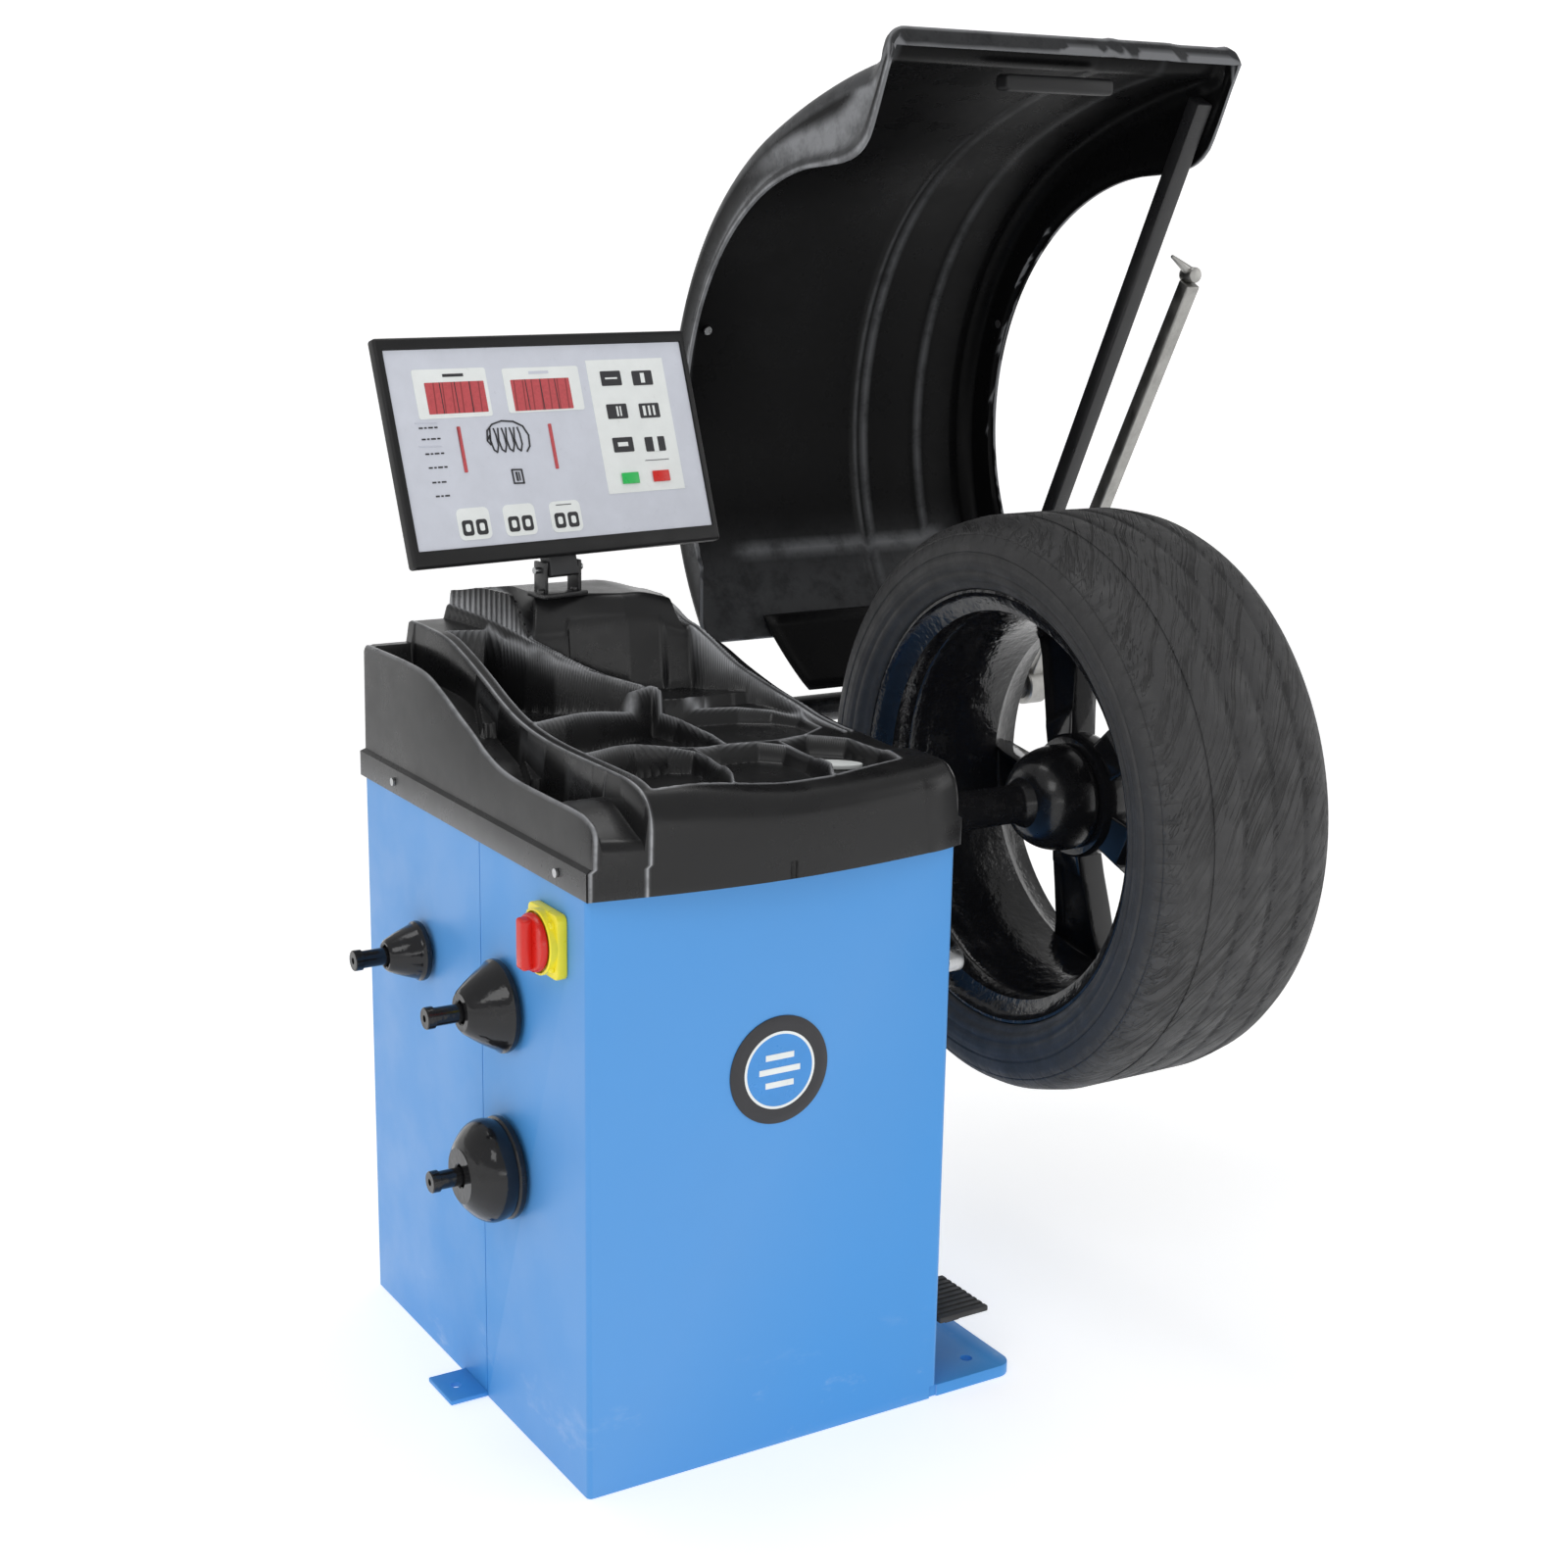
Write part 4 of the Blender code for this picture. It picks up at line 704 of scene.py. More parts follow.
def hump_height(x, y):
    """The smooth dome under the display, with its inset front."""
    face = 0.083 + 0.045 * min(max((0.030 - x) / 0.100, 0.0), 1.2)
    brow = 0.863 + 0.012 * rise((x + 0.07) / 0.10)
    top = brow + (HUMP_PEAK - brow) * rise((y - face - 0.004) / 0.040)
    top -= 0.012 * rise((y - 0.22) / 0.09) + 0.016 * rise((x - 0.05) / 0.08)
    inset = 0.009 * rise((x + 0.040) / 0.006) * rise((0.078 - x) / 0.006)
    floor = 0.7995
    return floor + (top - floor) * rise((y - face - inset) / 0.0120) * rise((0.1275 - x) / 0.0090)


STAIRS = (0.009, 0.018, 0.028)  # offsets of the steps that climb from the left ridge
STAIR_RISE = 0.0085
WALL_SPREAD = 0.0034  # how far a pocket's wall starts outside its outline
LEDGES = ((0.035, 0.100, 0.022), (-0.085, -0.015, 0.018), (-0.200, -0.130, 0.014))  # y from, y to, reach


def over_hump(x, y, main, right):
    """The height and edge shine of the hump with the two ridges beside it."""
    ridge, crest = curve_at(LEFT_RIDGE, y), curve_at(LEFT_RIDGE_TOP, y)
    edge, brim = curve_at(RIGHT_RIDGE, y), curve_at(RIGHT_RIDGE_TOP, y)
    off, past = x - ridge, edge - x
    dome = hump_height(x, y)
    stairs, shelf, bead = crest, 0.0, 0.0
    spread = rise((y - 0.120) / 0.13)
    for step in STAIRS:
        stairs += STAIR_RISE * spread * rise((off - step * spread) / 0.0060)
        shelf = max(shelf, spread * bump_at(off - step * spread - 0.0052, 0.0020))
    stairs += 0.12 * rise((off - 0.002 - 0.031 * spread) / 0.040)
    if dome < stairs - 0.014:
        shelf = 0.0
    inner = min(dome, stairs) if off > 0.0055 else dome
    side = brim + 0.12 * rise((past - 0.012) / 0.035)
    inner = min(inner, side) if past > 0 else right
    z = main if off < 0 else inner + (right - inner) * rise((0.004 - past) / 0.008)
    if abs(off) < 0.012 and crest > z:
        half = 0.0050 + 0.0055 * rise((y - 0.030) / 0.050)
        z += (crest - z) * rise((half - abs(off - 0.0005)) / (0.003 + half * 0.3))
        bead = max(bump_at(off + 0.0018, 0.0014), bump_at(off - 0.0030, 0.0013))
    return z, max(bead, shelf * 0.9)


def beside_right_ridge(x, y, z, bead, right):
    edge, brim = curve_at(RIGHT_RIDGE, y), curve_at(RIGHT_RIDGE_TOP, y)
    off = x - edge
    if abs(off) < 0.013:
        if brim > z:
            z += (brim - z) * rise((0.0115 - abs(off)) / 0.006)
            bead = max(bead, bump_at(off + 0.0045, 0.0022), bump_at(off - 0.0045, 0.0022))
    elif off > 0:
        z = right
    return z, bead


def side_channel(x, y, z, bead, left):
    """The channel between the left rail and the main rib, with its ledges and front lip."""
    lift = rise((x + 0.1735) / 0.0048)
    deep = left - 0.034 - 0.004 * rise((y + 0.05) / 0.1)
    lip = 0.7665 - 0.030 * rise((-0.232 - y) / 0.10)
    floor = deep + (lip - deep) * rise((-0.222 - y) / 0.008)
    floor += (left + 0.001 - floor) * rise((y - 0.277) / 0.005)
    for y0, y1, reach in LEDGES:
        t = (y - y0) / (y1 - y0)
        if 0 < t < 1:
            edge = -0.171 - reach * (1 - t) * rise(t / 0.12)
            floor += 0.015 * rise((x - edge) / 0.0025) * rise(t / 0.06)
            bead = max(bead, 0.45 * rise((x - edge) / 0.0025) * rise(t / 0.06) * (1 - lift))
    channel = left + (floor - left) * rise((x + 0.2215) / 0.0045)
    lip_line = bump_at(y + 0.227, 0.0018) * (1 - lift) * rise((x + 0.221) / 0.003)
    bead = max(bead * lift, bump_at(x + 0.2242, 0.0016), bump_at(x + 0.1655, 0.0015), lip_line)
    z = channel + (z - channel) * lift
    bead = max(bead, 0.8 * bump_at(x + 0.1515, 0.0016) * rise((y + 0.30) / 0.02) * rise((0.02 - y) / 0.02))
    return z, bead


def rounded_down(near, r):
    """How far a rounded border of radius r falls, near to its edge."""
    return r * (1 - math.sqrt(max(0.0, 1 - (1 - near / r) ** 2))) if near < r else 0.0


def tray_height(x, y, bow):
    """Height of the moulded top, and how near the point is to a rib's edge, which raises a small bead there and
    also paints a highlight line on it.
    """
    left, main, right = (curve_at(rib, y) for rib in (LEFT_RIB, MAIN_RIB, RIGHT_RIB))
    z, bead = main + (right - main) * rise((x + 0.12) / 0.15), 0.0
    if y > 0.028:
        z, bead = over_hump(x, y, main, right)
    if y > -0.115:
        z, bead = beside_right_ridge(x, y, z, bead, right)
    for corners, floor, draft in TRAY_POCKETS:
        away = into_polygon(x, y, corners)
        if away < 0.012:
            if y < 0.03 or x < curve_at(LEFT_RIDGE, y):
                bead = max(bead, 0.8 * bump_at(away - 0.0044, 0.0015))
            z += (floor - z) * rise((WALL_SPREAD - away) / draft)
    if x < -0.150:
        z, bead = side_channel(x, y, z, bead, left)
    z += 0.0009 * bead
    z -= rounded_down(y - tray_front(x, bow), 0.026 if x > -0.166 else 0.010)
    for edge, r in ((x - TRAY_LEFT, 0.003), (TRAY_RIGHT - x, 0.012), (TRAY_REAR - y, 0.005)):
        z -= rounded_down(edge, r)
    return z, min(1.0, bead)


def tray_shell(sizes):
    """The top is a fine grid set to its heights, and its border is drawn down into a skirt."""
    wide, deep = TRAY_RIGHT - TRAY_LEFT, 0.63
    bm = bmesh.new()
    bmesh.ops.create_grid(bm, x_segments=int(wide / sizes.tray_cell), y_segments=int(deep / sizes.tray_cell),
        size=0.5)
    painted_highlight = bm.verts.layers.float_color.new("painted_highlight")
    for v in bm.verts:
        x = TRAY_LEFT + wide * (v.co.x + 0.5)
        front = tray_front(x, sizes.bow)
        y = front + (TRAY_REAR - front) * (v.co.y + 0.5)
        height, bead = tray_height(x, y, sizes.bow)
        v.co = (x, y, height)
        # the bead share is kept for the painted highlight lines along the rib crests
        v[painted_highlight] = (bead, bead, bead, 1.0)
    rim = [e for e in bm.edges if len(e.link_faces) == 1]
    grow_x, grow_y = 0.2345 / 0.228, 0.3065 / TRAY_REAR
    rings = ((1.004, 1.002, 0.7140), (grow_x, grow_y, 0.7105), (grow_x, grow_y, 0.6803),
        (grow_x * 0.985, grow_y * 0.988, 0.6803), (grow_x * 0.985, grow_y * 0.988, 0.700))
    homes = {v: v.co.copy() for e in rim for v in e.verts}
    for sx, sy, z in rings:
        made = bmesh.ops.extrude_edge_only(bm, edges=rim)["geom"]
        verts = [v for v in made if isinstance(v, bmesh.types.BMVert)]
        rim = [e for e in made if isinstance(e, bmesh.types.BMEdge)]
        found = {}
        for v in verts:
            home = min((o for e in v.link_edges for o in [e.other_vert(v)] if o in homes),
                key=lambda o: (o.co - v.co).length)
            start = homes[home]
            at_front = start.y < tray_front(start.x, sizes.bow) + 0.002
            v.co = (start.x * sx, start.y * (1.0 if at_front else sy), z)
            found[v] = start
        homes.update(found)
    return bm


# ---------------------------------------------------------------- spindle and wheel


def spindle_shaft():
    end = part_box("main_shaft")[1].x
    hub = 0.575
    bell = [(0.068 - 0.040 * (1 - math.cos(a)),
        hub - 0.012 - 0.060 * math.sin(a)) for a in [math.radians(6 * i) for i in range(1, 15)]]
    profile = [(0.0, end), (0.015, end), (0.019, end - 0.004)]
    x = end - 0.008
    while x > hub + 0.055:  # thread
        profile += [(0.019, x), (0.0176, x - 0.0015), (0.0176, x - 0.0020), (0.019, x - 0.0035)]
        x -= 0.004
    profile += [(0.019, hub + 0.004), (0.020, hub), (0.066, hub - 0.0003), (0.068, hub - 0.003),
        (0.068, hub - 0.012)] + bell
    profile += [(0.027, hub - 0.082), (0.0245, hub - 0.086), (0.0245, 0.300), (0.0245, 0.262), (0.031, 0.260),
        (0.031, 0.248), (0.0245, 0.246), (0.0200, 0.243), (0.0200, -0.17), (0.0, -0.17)]
    return lathe(profile, (0, AXIS.y, AXIS.z), 72)


def wheel_barrel():
    """Drop-centre rim with rolled flanges, made 6 mm thick."""
    low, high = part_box("wheel_rim")
    r = (high.z - low.z) / 2
    outer = [(r, low.x), (r + 0.0, low.x + 0.006), (r - 0.003, low.x + 0.0115), (r - 0.019, low.x + 0.017),
        (0.252, low.x + 0.022), (0.2505, low.x + 0.040), (0.2535, low.x + 0.046), (0.2500, low.x + 0.053)]
    outer += [(0.246, low.x + 0.064), (0.236, low.x + 0.100), (0.232, low.x + 0.122), (0.232, low.x + 0.171),
        (0.249, high.x - 0.050), (0.252, high.x - 0.022), (r - 0.019, high.x - 0.017), (r - 0.003, high.x - 0.0115),
        (r, high.x - 0.006), (r, high.x)]
    inner = [(r - 0.004, high.x), (r - 0.006, high.x - 0.006), (0.2475, high.x - 0.013), (0.243, high.x - 0.040),
        (0.226, high.x - 0.060), (0.226, low.x + 0.122), (0.229, low.x + 0.104), (0.236, low.x + 0.078),
        (0.2385, low.x + 0.071)]
    inner += [(0.2425, low.x + 0.062), (0.2435, low.x + 0.050), (0.2465, low.x + 0.046), (0.2440, low.x + 0.038),
        (0.2460, low.x + 0.019), (r - 0.010, low.x + 0.011), (r - 0.0055, low.x + 0.004), (r - 0.0035, low.x)]
    return lathe(outer + inner, (0, AXIS.y, AXIS.z), 128, True)


def wheel_hub():
    pad = [(0.078, 0.612), (0.080, 0.604), (0.080, 0.583), (0.076, 0.5765), (0.060, 0.5753), (0.036, 0.5753),
        (0.034, 0.578), (0.034, 0.632), (0.038, 0.636), (0.060, 0.634)]
    return lathe(pad, (0, AXIS.y, AXIS.z), 72, True)


def one_spoke():
    """A hollow-backed spoke that widens to the barrel and leans outboard."""
    side = [(0.580, 0.060), (0.592, 0.105), (0.606, 0.150), (0.622, 0.200), (0.634, 0.240), (0.668, 0.240),
        (0.660, 0.195), (0.648, 0.150), (0.634, 0.105), (0.622, 0.060)]
    bm = bmesh.new()
    face = bm.faces.new([bm.verts.new((x, -1.0, reach)) for x, reach in side])
    made = bmesh.ops.extrude_face_region(bm, geom=[face])["geom"]
    bmesh.ops.translate(bm, vec=(0, 2.0, 0), verts=[v for v in made if isinstance(v, bmesh.types.BMVert)])
    bmesh.ops.recalc_face_normals(bm, faces=bm.faces)
    for v in bm.verts:
        v.co.y *= 0.020 + 0.105 * v.co.z + 0.12 * max(0.0, v.co.z - 0.19) ** 0.9
    backs = [
        f for f in bm.faces
        if len(f.verts) == 4 and f.normal.x < -0.5 and 0.09 < f.calc_center_median().z < 0.225
    ]
    bmesh.ops.inset_region(bm, faces=backs, thickness=0.008, depth=0.0, use_even_offset=True)
    bmesh.ops.translate(bm, vec=(0.012, 0, 0), verts=list({v for f in backs for v in f.verts}))
    soften(bm, 0.0045, 3, 28)
    return bm


def wheel_spokes(sizes):
    bm = bmesh.new()
    for n in range(sizes.spokes):
        turn = Matrix.Rotation(sizes.spoke_turn + 2 * math.pi * n / sizes.spokes, 4, "X")
        place = Matrix.Translation((0, AXIS.y, AXIS.z)) @ turn
        join(bm, one_spoke(), place)
        at = turn @ Vector((0.574, 0.0, 0.057))
        join(bm, rod((0.5755, AXIS.y + at.y, AXIS.z + at.z), (0.640, AXIS.y + at.y, AXIS.z + at.z), 0.0105,
            sides=24, soft=0.002))
    return bm


def tyre_body(sizes):
    """Carcass with a rim guard, raised rings and shallow grooves round the tread."""
    mid, half = (TYRE_LOW.x + TYRE_HIGH.x) / 2, (TYRE_HIGH.x - TYRE_LOW.x) / 2
    r = (TYRE_HIGH.z - TYRE_LOW.z) / 2
    side = [(r, 0.0), (r - 0.0003, 0.30), (r - 0.0010, 0.50), (r - 0.0028, 0.66), (r - 0.0062, 0.78),
        (r - 0.0125, 0.87), (r - 0.0200, 0.925), (r - 0.0215, 0.932), (r - 0.0225, 0.930), (r - 0.0240, 0.945)]
    side += [(r - 0.0330, 0.975), (r - 0.0430, 0.992), (r - 0.0440, 0.984), (r - 0.0460, 0.985),
        (r - 0.0470, 0.996), (r - 0.0560, 1.0), (r - 0.0650, 0.990), (r - 0.0665, 0.978), (r - 0.0690, 0.976),
        (r - 0.0705, 0.984), (r - 0.0740, 0.982)]
    side += [(r - 0.0780, 0.966), (r - 0.0800, 0.935), (r - 0.0835, 0.925), (r - 0.0870, 0.915), (0.2745, 0.895)]
    grooves = ((0.52, 0.0045), (0.17, 0.0045))
    outer = []
    for radius, share in side:
        outer.append((radius, share))
    tread = []
    for share, width in grooves:
        w = width / half
        base = r - 0.0012 * share**2
        tread += [(base, share - w), (base - 0.0016, share - w * 0.6), (base - 0.0016, share + w * 0.6),
            (base, share + w)]
    ring = sorted([p for p in outer if p[0] > r - 0.002] + tread,
        key=lambda p: p[1]) + [p for p in outer if p[0] <= r - 0.002]
    profile = [(radius, mid - half * share) for radius, share in ring if share > 0 or radius == r]
    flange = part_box("wheel_rim")[0].x + 0.0123
    profile += [(0.2745, flange), (0.2523, flange + 0.010), (0.2523, flange + 0.028)]
    profile += [(0.278, mid - half * 0.74), (r - 0.060, mid - half * 0.88), (r - 0.020, mid - half * 0.82),
        (r - 0.013, mid)]
    mirrored = [(radius, 2 * mid - x) for radius, x in reversed(profile[:-1]) if x != mid]
    return lathe(profile + mirrored, (0, AXIS.y, AXIS.z), sizes.tyre_steps, True)


# ---------------------------------------------------------------- hood

HOOD_ARC, HOOD_R = (0.112, 1.058), 0.445
HOOD_EDGE, HOOD_EDGE_R = (0.146, 1.067), 0.349
HOOD_FLAT_FROM, HOOD_FLAT_R = 65.0, 1.0


def hood_lines():
    """The outer line of the hood's back and the free edge of its sides, from the bottom to the tip."""
    a = math.radians(HOOD_FLAT_FROM)
    shift = HOOD_FLAT_R - HOOD_R
    flat = (HOOD_ARC[0] - shift * math.cos(a), HOOD_ARC[1] - shift * math.sin(a))
    back = arc(HOOD_ARC, HOOD_R, -40, HOOD_FLAT_FROM, 60) + arc(flat, HOOD_FLAT_R, HOOD_FLAT_FROM, 80.5, 16)[1:]
    back += [(0.0330, 1.550), (0.0335, 1.562), (0.0310, 1.5700), (0.0250, 1.5730), (0.0140, 1.5738),
        (0.0080, 1.5725), (0.0040, 1.5640), (0.0020, 1.552)]
    edge = arc(HOOD_EDGE, HOOD_EDGE_R, -28, 84, 60)
    edge += [(0.142, 1.4165), (0.112, 1.4195), (0.092, 1.4235), (0.076, 1.4290), (0.063, 1.4370), (0.052, 1.4480),
        (0.044, 1.4620), (0.031, 1.4900), (0.017, 1.522), (0.0025, 1.5515)]
    return back, edge


def evenly(points, count):
    """count points spaced evenly along a line of points."""
    lengths = [0.0]
    for p, q in zip(points, points[1:]):
        lengths.append(lengths[-1] + math.dist(p, q))
    out, i = [], 0
    for n in range(count):
        want = lengths[-1] * n / (count - 1)
        while i < len(lengths) - 2 and lengths[i + 1] < want:
            i += 1
        t = (want - lengths[i]) / (lengths[i + 1] - lengths[i])
        out.append(Vector(points[i]).lerp(Vector(points[i + 1]), min(max(t, 0.0), 1.0)))
    return out


def skin_step(x, fade):
    """How far the hood's back stands in from its outer line, for the groove and the step along it."""
    groove = -0.007 * math.exp(-(((x - 0.648) / 0.0075) ** 4)) if abs(x - 0.648) < 0.02 else 0.0
    return (groove + 0.0075 * rise((x - 0.741) / 0.016)) * fade


def hood_body(sizes):
    """A moulded sheet: side walls with a joggled edge, rounded corners and a ridged back."""
    back, edge = hood_lines()
    stations = 132
    outer, free = evenly(back, stations), evenly(edge, stations)
    corner = sizes.hood_corner
    xs = [HOOD_LOW.x + corner + (HOOD_HIGH.x - HOOD_LOW.x - 2 * corner) * i / 60 for i in range(61)]
    half = (HOOD_HIGH.x - HOOD_LOW.x) / 2
    wall, bend = 16, 8
    columns = 2 * (wall + bend) + len(xs) - 1
    bm = bmesh.new()
    bmesh.ops.create_grid(bm, x_segments=columns, y_segments=stations - 1, size=0.5)
    painted_highlight = bm.verts.layers.float_color.new("painted_highlight")
    for v in bm.verts:
        col, row = round((v.co.x + 0.5) * columns), round((v.co.y + 0.5) * (stations - 1))
        top, low = outer[row], free[row]
        depth = (low - top).length
        inward = (low - top).normalized() if depth > 1e-6 else Vector((0, -1))
        r = min(corner, depth * 0.5)
        flip = col > columns / 2
        c = columns - col if flip else col
        share = row / (stations - 1)
        if c <= wall:  # the side wall, from its free edge
            q = depth + (r - depth) * (c / wall)
            inset = 0.005 * rise((depth - q - 0.014) / 0.008) * rise((depth - 0.04) / 0.03)
            x = inset
        elif c <= wall + bend:
            a = math.pi / 2 * (c - wall) / bend
            x, q = r - r * math.cos(a), r - r * math.sin(a)
            x += 0.005 * (1 - (c - wall) / bend) * rise((depth - r - 0.014) / 0.008) * rise((depth - 0.04) / 0.03)
        else:
            i = c - wall - bend
            x = r + (xs[i] - xs[0]) * (half - r) / (half - corner)
            q = 0.0
        x = HOOD_HIGH.x - x if flip else HOOD_LOW.x + x
        if c > wall + bend:
            q += skin_step(x, 1 - 0.8 * rise((share - 0.50) / 0.25))
        at = top + inward * q
        v.co = (x, at.x, at.y)
        # lines is painted light on the hood, kept in the same attribute as the painted highlights
        lines = 0.0
        # painted highlights on the left wall's joggled lip, and the left wall and its bend made lighter as the lit
        # side; the right wall gets none
        if c <= wall and not flip:
            away = depth - q
            lines = max(bump_at(away - 0.003, 0.0045), 0.5 * bump_at(away - 0.024, 0.007),
                0.20 * rise((q - r) / 0.06),
                0.65 * rise((share - 0.60) / 0.12) * rise((away - 0.010) / 0.02) * rise((0.075 - away) / 0.02))
        elif c <= wall + bend and not flip:
            lines = 0.16
        # painted highlight lines along the back's groove and step, a lighter lower back as painted light, and a
        # painted reflection band across the back
        elif c > wall + bend:
            lines = 0.30 * (bump_at(x - 0.641, 0.0025) + bump_at(x - 0.6575, 0.0025) + 0.8 * bump_at(x - 0.752,
                0.003)) * (1 - 0.7 * rise((share - 0.45) / 0.25))
            lines = max(lines, 0.16 * rise((0.17 - share) / 0.12),
                0.45 * bump_at(share - 0.115, 0.010) * rise((x - 0.40) / 0.05) * rise((0.80 - x) / 0.05))
        # painted highlight along the tip's top band
        if share > 0.972:
            lines = max(0.9 * bump_at(share - 0.979, 0.0035), 0.10)
        v[painted_highlight] = (lines, lines, lines, 1.0)
    bmesh.ops.recalc_face_normals(bm, faces=bm.faces)
    return bm


def hood_tongue():
    """The recessed panel that carries the hood's back down behind the spindle."""
    wide, tall = 24, 16
    bm = bmesh.new()
    bmesh.ops.create_grid(bm, x_segments=wide, y_segments=tall, size=0.5)
    for v in bm.verts:
        u, t = v.co.x + 0.5, v.co.y + 0.5
        a = math.radians(-53.6 + 17.4 * t)
        left = 0.4325 + 0.022 * (1 - t)
        x = left + (0.7445 - left) * u
        near = min(u * 0.30, (1 - u) * 0.30, t * 0.13, (1 - t) * 0.2)
        r = HOOD_R - 0.0052 - 0.010 * (1 - rise((near - 0.004) / 0.010))
        v.co = (x, HOOD_ARC[0] + r * math.cos(a), HOOD_ARC[1] + r * math.sin(a))
    return bm


def thicken(obj, depth, offset=-1.0, soft=0.0):
    mod = obj.modifiers.new("wall", "SOLIDIFY")
    mod.thickness, mod.offset, mod.use_even_offset = depth, offset, True
    if soft:
        rounding = obj.modifiers.new("rounding", "BEVEL")
        rounding.width, rounding.segments = soft, 2
    rounding.limit_method, rounding.angle_limit = "ANGLE", math.radians(50)
    return obj


# ---------------------------------------------------------------- display

SCREEN = Matrix.Translation((-0.0396, 0.150, 0.945)) @ Matrix.Rotation(0.154, 4, "Z") @ Matrix.Rotation(-0.308, 4,
    "X")
FACE = -0.0275


def film(bm, x0, z0, x1, z1, look, lift=0.0006, soft=0.0, thick=0.0008):
    """A thin printed patch on the display's face."""
    low, high = (min(x0, x1) / 1000, FACE - lift, min(z0, z1) / 1000), (max(x0, x1) / 1000, FACE - lift + thick,
        max(z0, z1) / 1000)
    part = block(low, high)
    if soft:
        round_along(part, 1, soft / 1000, 4, 0.0001)
    join(bm, part, SCREEN, look)


def display_case():
    """The front frame, the shallow box behind it and the ear on its tilt axis."""
    shell = block((-0.2115, -0.030, 0.0115), (0.2290, -0.014, 0.2755), 0.004, 4)
    opening = block((-0.2025, -0.04, 0.030), (0.221, -0.0272, 0.262), 0.0015, 2)
    bm = cut(shell, opening)
    bulge = block((-0.1815, -0.016, 0.0395), (0.199, 0.006, 0.2475), 0.006, 3)
    ear = block((-0.020, -0.015, -0.010), (0.020, 0.005, 0.045), 0.002, 2)
    return together(bm, bulge, ear, place=SCREEN)


def display_print(looks):
    """Windows, digit blocks and marks, all thin films; lettering is only a few plain dashes."""
    panel, white, ink, led, pale = range(5)
    bm = bmesh.new()
    film(bm, -202.2, 30.4, 220.2, 261.7, panel, 0.0)
    film(bm, 74, 79, 189, 242, white)
    for x0, x1, top, base in ((-169, -70, 238, 181), (-47, 61, 236, 183)):
        film(bm, x0, base, x1, top, white, 0.0007, 3.0)
    for x0, x1, top, base in ((-155, -75, 222.5, 186), (-38, 45, 222, 185)):
        film(bm, x0, base, x1, top, led, 0.0010, 1.0)
        film(bm, (x0 + x1) / 2 - 14, top + 6, (x0 + x1) / 2 + 14, top + 9.5, ink if x0 < -100 else pale, 0.0010)
        for n in range(1, 4):
            x = x0 + (x1 - x0) * n / 4
            film(bm, x - 0.5, base, x + 0.5, top, ink, 0.0012)
    for x, top, base in ((-120, 170.5, 117), (6, 168, 114)):
        film(bm, x - 2.2, base, x + 2.2, top, led, 0.0010, 0.8)
    return bm


def outline_ring(bm, points, width, look, lift=0.0010):
    """A thin printed line along points, in millimetres on the face."""
    for (x0, z0), (x1, z1) in zip(points, points[1:]):
        run = math.hypot(x1 - x0, z1 - z0)
        if run < 0.01:
            continue
        nx, nz = -(z1 - z0) / run * width / 2, (x1 - x0) / run * width / 2
        ex, ez = (x1 - x0) / run * width * 0.3, (z1 - z0) / run * width * 0.3
        corners = [(x0 - ex + nx, z0 - ez + nz), (x0 - ex - nx, z0 - ez - nz), (x1 + ex - nx, z1 + ez - nz),
            (x1 + ex + nx, z1 + ez + nz)]
        part = prism([(a / 1000, b / 1000) for a, b in corners], FACE - lift, FACE - lift + 0.0009, "XZ")
        join(bm, part, SCREEN, look)


